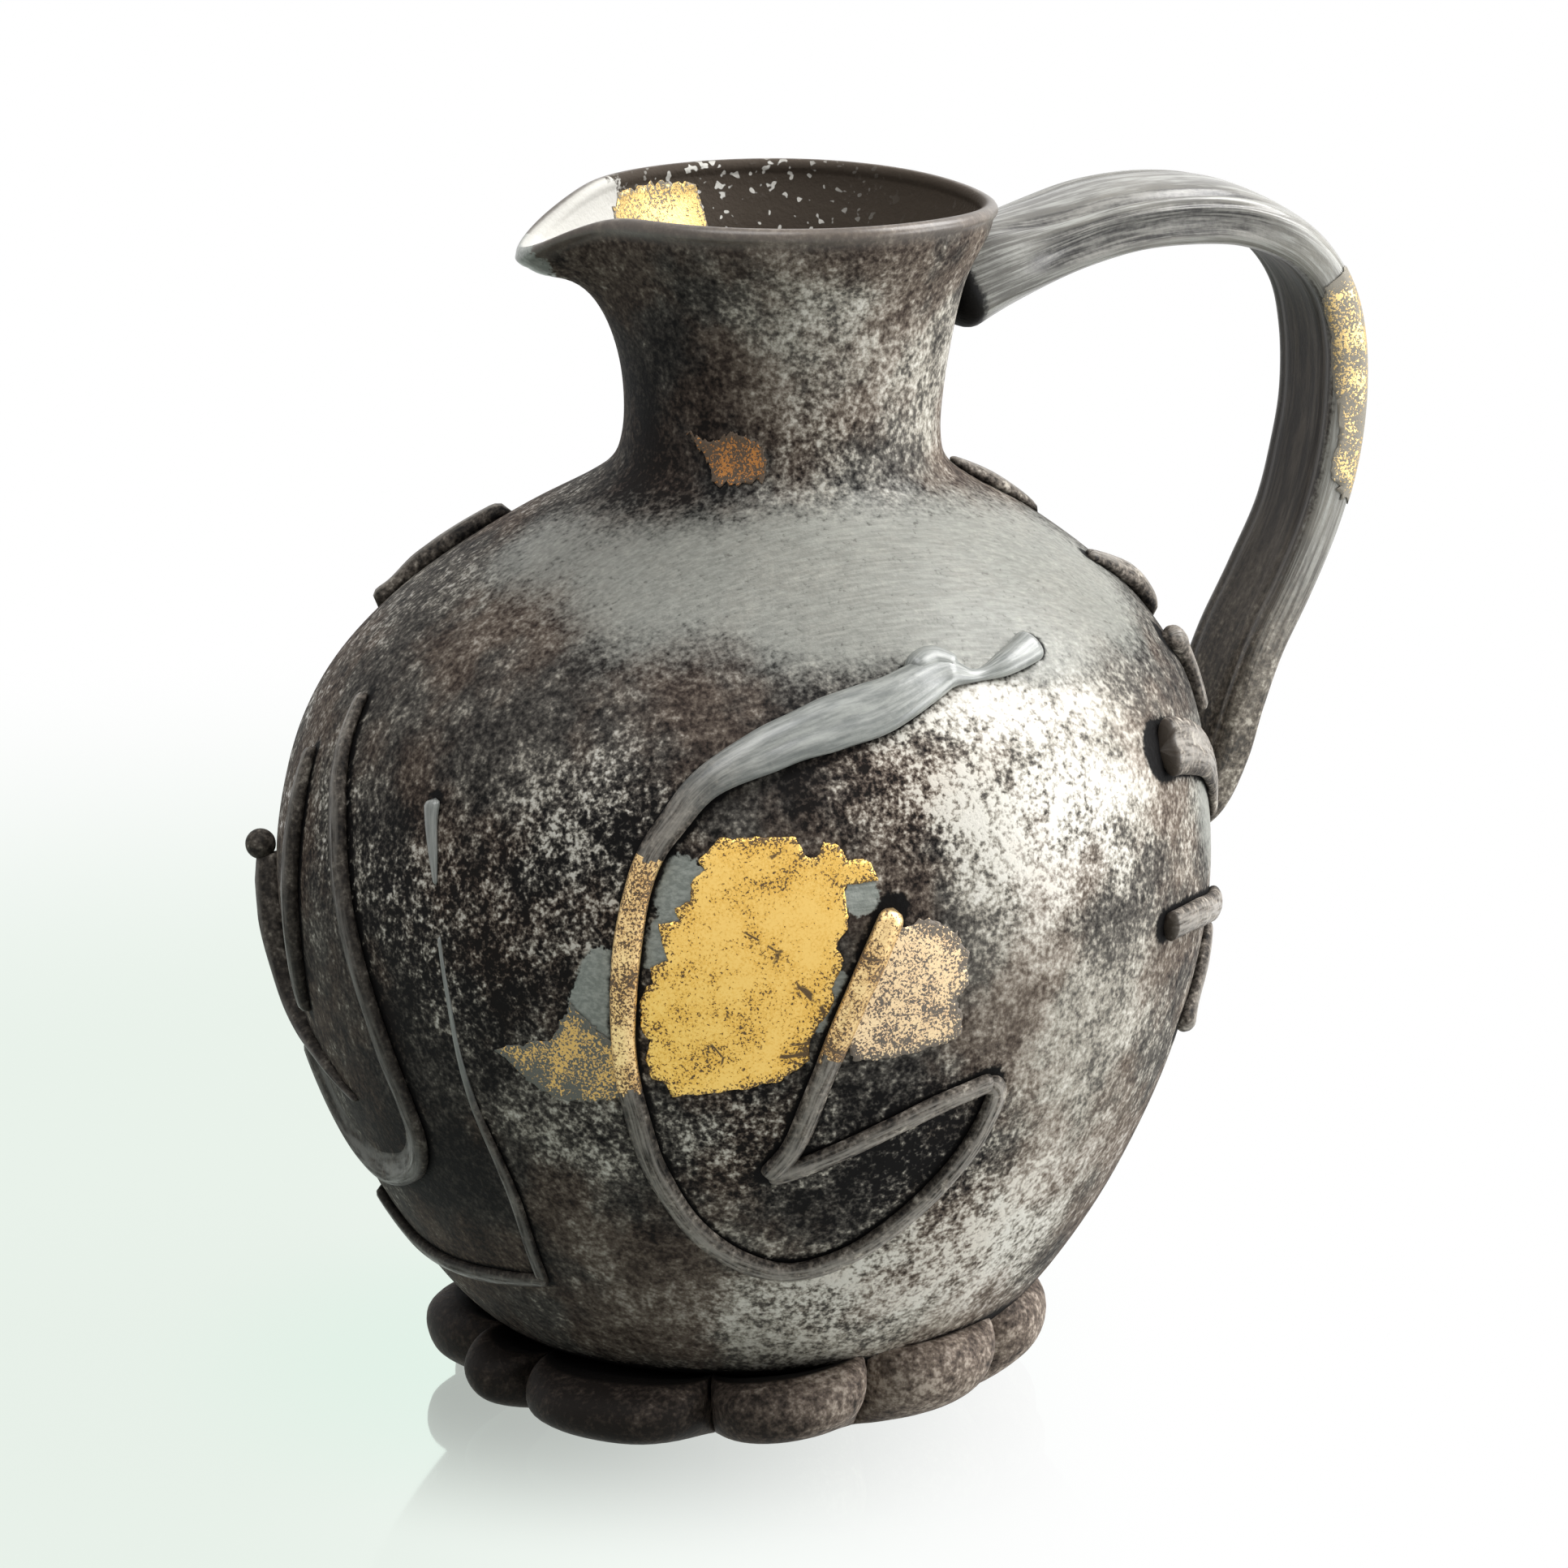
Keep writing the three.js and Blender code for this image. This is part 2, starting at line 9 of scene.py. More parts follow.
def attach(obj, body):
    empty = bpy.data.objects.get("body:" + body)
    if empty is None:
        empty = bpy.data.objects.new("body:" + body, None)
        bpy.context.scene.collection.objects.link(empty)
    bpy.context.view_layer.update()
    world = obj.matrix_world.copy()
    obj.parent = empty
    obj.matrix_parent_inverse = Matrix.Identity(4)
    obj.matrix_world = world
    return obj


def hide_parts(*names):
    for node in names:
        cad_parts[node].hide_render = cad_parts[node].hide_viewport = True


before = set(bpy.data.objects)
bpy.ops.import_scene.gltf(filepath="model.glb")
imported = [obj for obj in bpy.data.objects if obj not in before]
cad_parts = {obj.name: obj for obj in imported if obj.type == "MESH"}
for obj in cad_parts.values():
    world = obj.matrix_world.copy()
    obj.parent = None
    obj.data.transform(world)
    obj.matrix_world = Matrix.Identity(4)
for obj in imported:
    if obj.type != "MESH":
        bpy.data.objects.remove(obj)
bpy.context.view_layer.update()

# Body: a bubble of dark glass, blown and turned on the pipe, with the neck drawn in and the lip
# opened and pulled down at one place into a spout. A mineral crust was fired on to its skin.
# Points are [radius, height] up the outer wall, and turns are degrees round it from the front.
MM = 0.001
BODY_OUTLINE = [
    [0, 9], [35, 9.5], [52, 12.5], [62, 18], [72.5, 30], [85, 50], [96, 75], [102.5, 100],
    [104.5, 118], [103.2, 135], [100, 150], [94, 163], [84.3, 175], [72.5, 185], [57.7, 195],
    [43.6, 203], [37.4, 208], [35.4, 214], [35.4, 223], [37, 235], [40.2, 249], [45.2, 260],
    [46.6, 266.3],
]
LIP_HEIGHT, LIP_THICKNESS, WALL_THICKNESS, BASE_THICKNESS = 266.3, 2.6, 3.5, 6.0
LIP_BEAD, LIP_SINK = 3.8, 0.7
THICK_BELOW, THIN_ABOVE = 40, 235
LEAN, LEAN_FROM, LEAN_TO = 10, 120, 230
LIP_DIP, LIP_DIP_SPREAD = 1.9, 40
SPOUT_TURN, SPOUT_REACH, SPOUT_DROP, SPOUT_SPREAD = -105, 12.6, 9.2, 17.5
SPOUT_FROM, SPOUT_CURL, FLARE_LIMIT = 218, 3, 1.1
TIP_HEIGHT, TIP_SPREAD, TIP_DROP = 263, 8, 3.4
BODY_STEPS, WALL_STEPS, INNER_STEPS, LIP_STEPS = 320, 7, 2, 11
LIP_ARC, RIM_HEIGHTS, LINING_DEPTHS, BEAD_GAP = (-30, 210), (262, 265.5), (0.8, 2.4), 0.6
HAND_WOBBLE, WOBBLE_LENGTH, WOBBLE_SEED = 0.35, 42, 5
noise.seed_set(WOBBLE_SEED)


def smooth_line(points, per_span):
    """Smooth line through given points, with per_span steps from each to the next."""
    p = np.array(points, float)
    p = np.vstack([p[:1], p, p[-1:]])
    t = np.linspace(0, 1, per_span, endpoint=False)[:, None]
    spans = [
        b + 0.5 * t * (c - a) + t**2 * (a - 2.5 * b + 2 * c - 0.5 * d)
        + t**3 * (1.5 * (b - c) + 0.5 * (d - a))
        for a, b, c, d in zip(p, p[1:], p[2:], p[3:])
    ]
    return np.vstack([*spans, p[-1:]])


def ease(value, low, high):
    """0 below low and 1 above high, with a soft step between."""
    share = np.clip((value - low) / (high - low), 0, 1)
    return share * share * (3 - 2 * share)


WALL = smooth_line(BODY_OUTLINE, 24)
WALL_SLOPE = np.gradient(WALL[:, 0]) / np.maximum(np.gradient(WALL[:, 1]), 1e-6)


def wall_radius(height):
    return np.interp(height, WALL[:, 1], WALL[:, 0])


def off_wall(radius, height, out):
    """Radius and height of a place of the wall line moved out along the wall's own normal."""
    tilt = -np.arctan(np.interp(height, WALL[:, 1], WALL_SLOPE))
    return np.maximum(0, radius + out * np.cos(tilt)), height + out * np.sin(tilt)


def wall_thickness(height):
    lower = BASE_THICKNESS + (WALL_THICKNESS - BASE_THICKNESS) * ease(height, 0, THICK_BELOW)
    return lower + (LIP_THICKNESS - lower) * ease(height, THIN_ABOVE, LIP_HEIGHT)


def bend(points):
    """Lean of the neck, pull of the spout and dip of the lip, for points of the turned body."""
    x, y, z = points.T
    turn = np.degrees(np.arctan2(x, -y))
    rise = np.clip((z - SPOUT_FROM) / (LIP_HEIGHT - SPOUT_FROM), 0, FLARE_LIMIT) ** SPOUT_CURL

    def near(place, spread):
        apart = (turn - place + 180) % 360 - 180
        return rise * np.exp(-((apart / spread) ** 2))

    pull = near(SPOUT_TURN, SPOUT_SPREAD)
    out = SPOUT_REACH * pull
    lean = LEAN * ease(z, LEAN_FROM, LEAN_TO)
    down = SPOUT_DROP * pull + LIP_DIP * near(SPOUT_TURN + 180, LIP_DIP_SPREAD)
    angle = np.radians(turn)
    return np.stack([x + lean + out * np.sin(angle), y - out * np.cos(angle), z - down], 1)


def on_wall(turn, height, out):
    """Places on the finished wall at a turn and height, a distance out along the normal."""
    turn, height, out = np.broadcast_arrays(*np.atleast_1d(turn, height, out))
    radius, level = off_wall(wall_radius(height), height, out)
    angle = np.radians(turn)
    return bend(np.stack([radius * np.sin(angle), -radius * np.cos(angle), level], 1))


def wobble(points, amount, length):
    """Slow unevenness of work done by hand and eye."""
    return points + amount * np.array([noise.noise_vector(Vector(p) / length) for p in points])


def blown(points):
    """Turned body bent to its finished shape, with the tip of the spout left thick and blunt."""
    outside = ease(np.hypot(points[:, 0], points[:, 1]) - wall_radius(points[:, 2]), -0.9, -0.1)
    moved = wobble(bend(points), HAND_WOBBLE, WOBBLE_LENGTH)
    tip = on_wall(SPOUT_TURN, TIP_HEIGHT, 0)
    moved[:, 2] -= TIP_DROP * outside * np.exp(-((moved - tip) ** 2).sum(1) / TIP_SPREAD**2)
    return moved


def make_piece(name, bm, place, slot, *nodes):
    """Finished piece in the frame: place gives each point of the bmesh its position in millimetres."""
    points = place(np.array([v.co for v in bm.verts])) * MM
    for vert, point in zip(bm.verts, points):
        vert.co = point
    bmesh.ops.remove_doubles(bm, verts=bm.verts, dist=0.01 * MM)
    bmesh.ops.recalc_face_normals(bm, faces=bm.faces)
    mesh = bpy.data.meshes.new(name)
    bm.to_mesh(mesh)
    bm.free()
    mesh.shade_smooth()
    piece = bpy.data.objects.new(name, mesh)
    bpy.context.scene.collection.objects.link(piece)
    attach(piece, "root")
    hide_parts(*nodes)
    return piece


def turned(outline, steps):
    """Turned skin round the upright axis from an outline that starts and ends on it."""
    bm = bmesh.new()
    line = [bm.verts.new((radius, 0, height)) for radius, height in outline]
    edges = [bm.edges.new(pair) for pair in zip(line, line[1:])]
    bmesh.ops.spin(bm, geom=line + edges, cent=(0, 0, 0), axis=(0, 0, 1), angle=math.tau,
                   steps=steps, use_merge=True)
    return bm


def layer_of(bm, name, values):
    """Named value on each point of a bmesh, which its mesh keeps for the material to read."""
    layer = bm.verts.layers.float.new(name)
    for vert, value in zip(bm.verts, values):
        vert[layer] = value


def points_of(piece):
    flat = np.empty(3 * len(piece.data.vertices), np.float32)
    piece.data.vertices.foreach_get("co", flat)
    return flat.reshape(-1, 3).astype(float) / MM


def paint(piece, name, values):
    layer = piece.data.attributes.new(name, "FLOAT", "POINT")
    layer.data.foreach_set("value", np.asarray(values, np.float32))


outer = smooth_line(BODY_OUTLINE, WALL_STEPS)
inner = smooth_line(BODY_OUTLINE, INNER_STEPS)
inner = np.stack(off_wall(inner[:, 0], inner[:, 1], -wall_thickness(inner[:, 1])), 1)
lip_middle = (outer[-1] + inner[-1]) / 2 - [0, LIP_SINK]
lip_angles = np.radians(np.linspace(*LIP_ARC, LIP_STEPS))
lip = lip_middle + LIP_BEAD / 2 * np.stack([np.cos(lip_angles), np.sin(lip_angles)], 1)
outer, inner = (line[line[:, 1] < lip[0, 1] - BEAD_GAP] for line in (outer, inner))
skin = turned([*outer, *lip, *inner[::-1]], BODY_STEPS)
rest = np.array([v.co for v in skin.verts])
inside = ease(wall_radius(rest[:, 2]) - np.hypot(rest[:, 0], rest[:, 1]), *LINING_DEPTHS)
layer_of(skin, "inside", inside)
layer_of(skin, "rim", ease(rest[:, 2], *RIM_HEIGHTS) * (1 - inside))
body = make_piece("blown_body", skin, blown, "crusted_glass", "body")
body_points = points_of(body)

# Where the crust differs, and where light and shade are painted on it, as soft marks of [turn, height,
# spread, amount]; below 0 they take away
CRUST_MARKS = {
    # sheen: bare smooth glass painted silver, and a painted sheen from the window on the shoulder and the
    # right side
    "bare_and_painted_sheen": [
        [-86, 194, 18, 0.7], [-54, 193, 20, 0.8], [-24, 196, 20, 0.7], [1, 195, 24, 0.7],
        [31, 192, 24, 0.75], [44, 184, 18, 0.6], [-18, 187, 18, 0.6], [9, 184, 18, 0.7],
        [24, 176, 14, 0.4], [60, 190, 24, 0.5], [-45, 183, 16, 0.25], [57, 138, 16, 0.8],
        [60, 120, 12, 0.4],
    ],
    "scraped": [
        [-33, 138, 7, 1], [-31, 130, 6, 0.8], [-43, 110, 6, 1.1], [-42, 99, 6, 1], [-41.5, 119, 5, 1],
        [-11, 134, 5, 1], [-35.5, 123, 5, 1], [-15, 108, 4, 1], [-13.5, 116, 3.5, 0.9],
        [SPOUT_TURN, 264, 9, 1],
    ],
    # fleck: paler crust, and a painted highlight at the upper right of the belly and painted light low on
    # the front
    "fleck": [
        [5, 166, 14, 0.7], [13, 158, 20, 1], [27, 158, 20, 0.95], [-4, 157, 14, 0.8],
        [16, 146, 18, 0.3], [41, 139, 22, 0.1], [49, 147, 11, 0.45], [10, 132, 18, 0.4],
        [22, 96, 20, 0.25], [8, 154, 13, 0.8], [0, 70, 13, -0.4], [9, 112, 20, 0.35],
        [31, 110, 34, 0.24], [24, 66, 36, 0.5], [14, 41, 26, 0.75], [-13, 33, 26, 1],
        [60, 100, 50, 0.15], [27, 229, 16, 0.45], [40, 212, 16, 0.25], [-4, 241, 16, 0.6],
        [-20, 255, 16, 0.45], [-15, 217, 12, 0.5], [-30, 236, 12, 0.25], [-46, 152, 20, 0.45],
        [-52, 132, 16, 0.35], [-82, 184, 24, 0.25], [-88, 150, 40, 0.12], [-45, 80, 22, 0.55],
        [-50, 40, 24, 0.25], [-58, 112, 24, 0.25], [150, 130, 90, 0.4], [-150, 130, 90, 0.35],
        [70, 235, 24, 0.5],
    ],
    # soot: dark crust, and painted shadow beside the front loop, inside the loops and on the shaded left
    "soot_and_shade": [
        [-58, 116, 26, 0.6], [-52, 134, 20, 0.4], [-66, 108, 24, 0.35], [-41, 148, 8, 1.1],
        [-42, 136, 7, 1], [-70, 64, 18, 1.2], [-72, 104, 14, 0.5], [-84, 66, 10, 1],
        [-38, 60, 10, 0.9], [-2, 75, 14, 1.3], [-12, 62, 11, 1], [-27, 82, 9, 0.4],
        [-84, 222, 15, 0.9], [-72, 207, 12, 0.9], [-46, 206, 10, 0.6], [-66, 238, 18, 0.1],
        [-52, 226, 14, 0.4], [-18, 158, 9, 0.7], [-2, 164, 6, 0.5], [180, 90, 60, 0.4],
    ],
    "grain": [
        [-58, 118, 26, 0.9], [-46, 134, 20, 0.9], [-70, 128, 16, 0.6], [-41, 148, 16, 0.7],
        [-6, 156, 18, 1], [13, 158, 22, 0.2], [14, 140, 22, 0.35], [30, 142, 22, 0.15],
        [-25, 82, 18, 0.9], [-2, 75, 18, 0.8], [12, 48, 22, 0.6], [-13, 36, 20, 0.5],
        [-86, 135, 14, 0.5], [-45, 80, 16, 0.4], [-15, 217, 14, 0.4], [20, 229, 18, 0.12],
        [-10, 250, 20, 0.2], [60, 100, 40, 0.15], [150, 130, 90, 0.4], [-150, 130, 90, 0.4],
    ],
}
INNER_MARKS = {
    "spotted": [[-176, 259, 13, 1], [168, 257, 13, 1], [152, 254, 13, 1], [175, 248, 13, 1]],
    # silvered: clean glass inside the spout, with painted glare
    "clear_glass_and_glare": [[-104, 264, 13, 1], [-118, 260, 13, 1], [-132, 258, 13, 1]],
}
INNER_DEPTH = 2


def marks(points, rows, depth=0.0):
    """Sum of soft marks that lie at a depth in the wall, held between 0 and 1."""
    total = np.zeros(len(points))
    for turn, height, spread, amount in rows:
        apart = points - on_wall(turn, height, -depth)
        total += amount * np.exp(-(apart**2).sum(1) / spread**2)
    return np.clip(total, 0, 1)


for name, rows in CRUST_MARKS.items():
    paint(body, name, marks(body_points, rows))
for name, rows in INNER_MARKS.items():
    paint(body, name, marks(body_points, rows, INNER_DEPTH))


def colour(hex_value):
    """Linear colour from an sRGB hex number."""
    parts = [(hex_value >> shift & 255) / 255 for shift in (16, 8, 0)]
    return [p / 12.92 if p <= 0.04045 else ((p + 0.055) / 1.055) ** 2.4 for p in parts] + [1.0]


def node(tree, kind, inputs=None, **settings):
    made = tree.nodes.new("ShaderNode" + kind)
    for name, value in settings.items():
        setattr(made, name, value)
    for key, value in (inputs or {}).items():
        if isinstance(value, bpy.types.NodeSocket):
            tree.links.new(value, made.inputs[key])
        else:
            made.inputs[key].default_value = value
    return made


def mixed(tree, share, first, second):
    return node(tree, "Mix", {0: share, 6: first, 7: second}, data_type="RGBA").outputs[2]


def between(tree, share, first, second):
    return node(tree, "Mix", {0: share, 2: first, 3: second}, data_type="FLOAT").outputs[0]


def stepped(tree, value, low, high):
    """The same step as ease, in a material."""
    return node(tree, "MapRange", {"Value": value, "From Min": low, "From Max": high},
                interpolation_type="SMOOTHSTEP").outputs[0]


def sums(tree, kind, first, second):
    return node(tree, "Math", {0: first, 1: second}, operation=kind).outputs[0]


def scaled(tree, value, factor, added=0.0):
    return node(tree, "Math", {0: value, 1: factor, 2: added}, operation="MULTIPLY_ADD").outputs[0]


def grains(tree, vector, size, detail=3.0, roughness=0.6):
    """Noise whose cells are about size metres across."""
    return node(tree, "TexNoise", {"Vector": vector, "Scale": 1 / size, "Detail": detail,
                                   "Roughness": roughness}).outputs[0]


def attribute(tree, name):
    return node(tree, "Attribute", attribute_name=name).outputs["Fac"]


def object_place(tree):
    return node(tree, "TexCoord").outputs["Object"]


def new_group(name, inputs, outputs):
    tree = bpy.data.node_groups.new(name, "ShaderNodeTree")
    for socket, kind in inputs.items():
        tree.interface.new_socket(socket, in_out="INPUT", socket_type="NodeSocket" + kind)
    for socket in outputs:
        tree.interface.new_socket(socket, in_out="OUTPUT", socket_type="NodeSocketFloat")
    return tree, tree.nodes.new("NodeGroupInput").outputs, tree.nodes.new("NodeGroupOutput").inputs


def use_group(tree, group, inputs):
    return node(tree, "Group", inputs, node_tree=group).outputs


def new_finish(name, **sockets):
    """Material, its tree and its one shader, whose plain values are set here."""
    material = bpy.data.materials.new(name)
    material.use_nodes = True
    shader = material.node_tree.nodes["Principled BSDF"]
    for key, value in sockets.items():
        shader.inputs[key.replace("_", " ")].default_value = value
    return material, material.node_tree, shader


def finish_with(tree, shader, height, depth, **sockets):
    """Links what varies over the surface to the shader, and a bump of the given depth in metres."""
    for key, value in sockets.items():
        tree.links.new(value, shader.inputs[key.replace("_", " ")])
    bump = node(tree, "Bump", {"Height": height, "Strength": 1.0, "Distance": depth})
    tree.links.new(bump.outputs[0], shader.inputs["Normal"])


# Fired crust shared by all the dark glass: pale grains and clumps on a dark ground. Fleck makes it paler,
# the darkening input darker (soot, and painted shade where that is fed in), and Grain sets the grains and
# clumps more sharply against the ground.
crust, crust_in, crust_out = new_group(
    "fired_crust", {"Vector": "Vector", "Fleck": "Float", "Darkening": "Float", "Grain": "Float"},
    ["Tone", "Mottle", "Height"])
fine = grains(crust, crust_in["Vector"], 1.2 * MM, 2, 0.6)
medium = grains(crust, crust_in["Vector"], 3.2 * MM, 3)
clumps = grains(crust, crust_in["Vector"], 13 * MM, 3)
mottle = grains(crust, crust_in["Vector"], 34 * MM, 4)
clumping = scaled(crust, crust_in["Grain"], 1.1, scaled(crust, crust_in["Fleck"], -0.2, 0.65))
clumped = scaled(crust, clumps, 1.0, scaled(crust, medium, 1.0, -1.0))
in_clumps = sums(crust, "MULTIPLY", clumping, clumped)
level = scaled(crust, crust_in["Fleck"], 0.44, scaled(crust, crust_in["Darkening"], -0.25, 0.33))
contrast = scaled(crust, crust_in["Grain"], 1.9, scaled(crust, crust_in["Fleck"], -0.3, 0.85))
in_grains = sums(crust, "MULTIPLY", contrast, scaled(crust, fine, 1.0, -0.5))
tone = sums(crust, "ADD", in_grains, sums(crust, "ADD", in_clumps, level))
height = scaled(crust, medium, 0.4, scaled(crust, fine, 0.6))
for socket, value in (("Tone", tone), ("Mottle", mottle), ("Height", height)):
    crust.links.new(value, crust_out[socket])


def ramp(tree, value, *stops):
    """Colour that runs through stops of (value, hex colour)."""
    made = node(tree, "ValToRGB", {"Fac": value})
    elements = made.color_ramp.elements
    while len(elements) < len(stops):
        elements.new(1.0)
    for element, (place, hex_value) in zip(elements, stops):
        element.position = place
        element.color = colour(hex_value)
    return made.outputs[0]


glass, tree, shader = new_finish("crusted_dark_glass", Specular_IOR_Level=0.1, Coat_Roughness=0.32)
coords = object_place(tree)
fired = use_group(tree, crust, {"Vector": coords, "Fleck": attribute(tree, "fleck"),
                                "Darkening": attribute(tree, "soot_and_shade"), "Grain": attribute(tree, "grain")})
rough_edge = scaled(tree, fired["Height"], 1.0, -0.5)
grey = ramp(tree, fired["Tone"], (0.08, 0x0F0E0E), (0.3, 0x3D3A37), (0.5, 0x66625C),
            (0.68, 0xA8A296), (0.9, 0xDDD9CF))
brown = ramp(tree, fired["Tone"], (0.08, 0x15110F), (0.3, 0x463C36), (0.5, 0x70655B),
             (0.7, 0xA0968A), (0.95, 0xDAD3C7))
flecked = mixed(tree, stepped(tree, fired["Mottle"], 0.44, 0.6), grey, brown)
brush = node(tree, "Mapping", {"Vector": coords, "Rotation": (0.25, 0.5, 0.3),
                               "Scale": (0.12, 1, 1)}).outputs[0]
striae = grains(tree, brush, 0.9 * MM, 3)
silver = mixed(tree, stepped(tree, striae, 0.32, 0.7), colour(0x8C8D86), colour(0xA3A49C))
# Silver of bare glass on the shoulder and the right side, which is also a painted sheen
bare_and_painted_sheen = stepped(tree, scaled(tree, rough_edge, 1.1, attribute(tree, "bare_and_painted_sheen")), 0.15, 0.8)
pits = scaled(tree, stepped(tree, fired["Height"], 0.42, 0.33), 0.5)
pitted = mixed(tree, pits, silver, colour(0x57524B))
shining = mixed(tree, scaled(tree, bare_and_painted_sheen, 0.8), flecked, pitted)
scraped = stepped(tree, scaled(tree, rough_edge, 0.8, attribute(tree, "scraped")), 0.45, 0.56)
rubbed = mixed(tree, stepped(tree, striae, 0.35, 0.7), colour(0x868C85), colour(0xACB0A9))
cleaned = mixed(tree, scraped, shining, rubbed)
blotches = stepped(tree, grains(tree, coords, 2.2 * MM, 1, 0.5), 0.62, 0.66)
# Inside the spout: clean glass with painted glare, near white
clear_and_glare_mask = stepped(tree, scaled(tree, rough_edge, 1.2, attribute(tree, "clear_glass_and_glare")), 0.3, 0.5)
spotted = sums(tree, "MULTIPLY", blotches, attribute(tree, "spotted"))
white_inside = sums(tree, "MAXIMUM", spotted, clear_and_glare_mask)
lining = mixed(tree, white_inside, colour(0x473F37), colour(0xD6D4CD))
lined = mixed(tree, attribute(tree, "inside"), cleaned, lining)
crusted_rim = sums(tree, "MULTIPLY", attribute(tree, "rim"), scaled(tree, scraped, -0.6, 0.6))
smoothed = mixed(tree, crusted_rim, lined, colour(0x6E645A))
# Painted shade: near black in the corner beside threads, at the foot seam and round the handle joint
corner_shade = stepped(tree, scaled(tree, rough_edge, 2.6, attribute(tree, "beside")), 1.4, 0.2)
corner_shaded = mixed(tree, corner_shade, smoothed, colour(0x090808))
glint = stepped(tree, fired["Tone"], 0.5, 0.85)
smooth = sums(tree, "MAXIMUM", scaled(tree, bare_and_painted_sheen, 0.35), scraped)
gloss = sums(tree, "MAXIMUM", scaled(tree, glint, 0.9), smooth)
gloss = sums(tree, "MAXIMUM", gloss, attribute(tree, "rim"))
open_gloss = sums(tree, "MULTIPLY", gloss, scaled(tree, corner_shade, -1.0, 1.0))
finish_with(tree, shader, fired["Height"], 0.3 * MM, Base_Color=corner_shaded, Coat_Weight=open_gloss,
            Roughness=between(tree, gloss, 0.7, 0.42))
body.data.materials.append(glass)

# Foot: a pad of soft glass stuck under the body and pinched all round with pliers, so that its edge
# stands in fat lobes. Same dark glass, matt and browner, with painted shade darkening it towards the left
# and in the notches and the seam under the body.
# Lobes are [turn, reach, lift, tallness], and points [radius, height] round the pad's section.
LOBES = [
    [-88.5, 72.5, 4.5, 0.8], [-72, 76.7, 1, 0.78], [-31.5, 78, 0, 0.84], [1.5, 72, 4.7, 0.92],
    [37, 70, 6, 1], [69, 68.5, 7.3, 1], [100, 71, 4.5, 1], [133, 72, 2, 1], [167, 72, 0.5, 1],
    [201, 72.5, 1, 1], [235, 72, 3, 0.9],
]
FOOT_EDGE = [
    [36, 0], [54, 0], [65, 0.4], [70.3, 3.2], [72, 8.5], [70.8, 13.4], [67, 16.8], [62.5, 17.6],
    [58, 15.8],
]
FOOT_TOP = [[50, 11.8], [34, 9.2], [0, 8.6]]
FOOT_REACH, PINCH_LEVEL, PINCH_FROM, PINCH_KEEPS, PINCH_SQUASH = 72, 14, 54, 0.26, 0.4
LOBE_STEPS, LOBE_FULLNESS, EDGE_STEPS = 28, 2.2, 5
FOOT_WOBBLE, LOWERED_RADII, LEFT_SHADE_WAY, LEFT_SHADE_SPAN = (0.8, 14), (46, 60), (-1, -0.35), (22, 80)
NOTCH_SHARES, NOTCH_HEIGHTS, CORNER_RADII, CORNER_HEIGHTS = (0.02, 0.1), (6, 12), (63, 68.5), (8, 12)


def pinch(points):
    """Turned pad with its edge drawn in between the lobes."""
    x, y, z = points.T
    radius = np.hypot(x, y)
    share = (np.arctan2(x, -y) / math.tau % 1) * len(LOBES)
    lobe = np.floor(share + 1e-6).astype(int) % len(LOBES)
    across = 0.5 - 0.5 * np.cos(math.pi * np.clip(share - np.floor(share + 1e-6), 0, 1))
    this, following = np.array(LOBES)[lobe], np.array(LOBES)[(lobe + 1) % len(LOBES)]
    width = (following[:, 0] - this[:, 0]) % 360
    _, reach, lift, tallness = (this + (following - this) * across[:, None]).T
    turn = np.radians(this[:, 0] + width * across)
    drawn = 1 - np.sqrt(1 - np.clip(np.abs(2 * across - 1), 0, 1) ** LOBE_FULLNESS)
    stretch = (reach - PINCH_FROM) / (FOOT_REACH - PINCH_FROM) * (1 - (1 - PINCH_KEEPS) * drawn)
    edge = ease(radius, PINCH_FROM, FOOT_REACH)
    pulled = np.minimum(radius, PINCH_FROM) + np.maximum(0, radius - PINCH_FROM) * stretch
    z = z * (1 - (1 - tallness) * ease(radius, *LOWERED_RADII))
    level = PINCH_LEVEL + (z - PINCH_LEVEL) * (1 - PINCH_SQUASH * drawn * edge) + lift * edge
    moved = np.stack([pulled * np.sin(turn), -pulled * np.cos(turn), np.maximum(level, 0)], 1)
    uneven = wobble(moved, *FOOT_WOBBLE)
    return moved + (uneven - moved) * (edge * ease(z, 0, 4))[:, None]


foot_outline = [[0, 0], *smooth_line(FOOT_EDGE, EDGE_STEPS), *FOOT_TOP]
pad = turned(foot_outline, len(LOBES) * LOBE_STEPS)
rest = np.array([v.co for v in pad.verts])
notch = np.abs((np.arctan2(rest[:, 0], -rest[:, 1]) / math.tau * len(LOBES) + 0.5) % 1 - 0.5)
from_axis = np.hypot(rest[:, 0], rest[:, 1])
layer_of(pad, "notch", (1 - ease(notch, *NOTCH_SHARES)) * ease(rest[:, 2], *NOTCH_HEIGHTS))
layer_of(pad, "seam", (1 - ease(from_axis, *CORNER_RADII)) * ease(rest[:, 2], *CORNER_HEIGHTS))
foot = make_piece("pinched_foot_pad", pad, pinch, "foot_glass", "pinched_foot")
# Painted shade: the foot is darker towards the left, away from the lamps
paint(foot, "left_shade", ease(points_of(foot)[:, :2] @ LEFT_SHADE_WAY, *LEFT_SHADE_SPAN))

matt, tree, shader = new_finish("matt_foot_glass", Specular_IOR_Level=0.12)
left_shade = attribute(tree, "left_shade")
fired = use_group(tree, crust, {"Vector": object_place(tree), "Fleck": scaled(tree, left_shade, -0.5, 0.6),
                                "Darkening": scaled(tree, left_shade, 0.8, 0.1), "Grain": 0.4})
flecked = ramp(tree, fired["Tone"], (0.1, 0x2C2622), (0.4, 0x61564E), (0.6, 0x7F7267), (0.9, 0xB9AC9F))
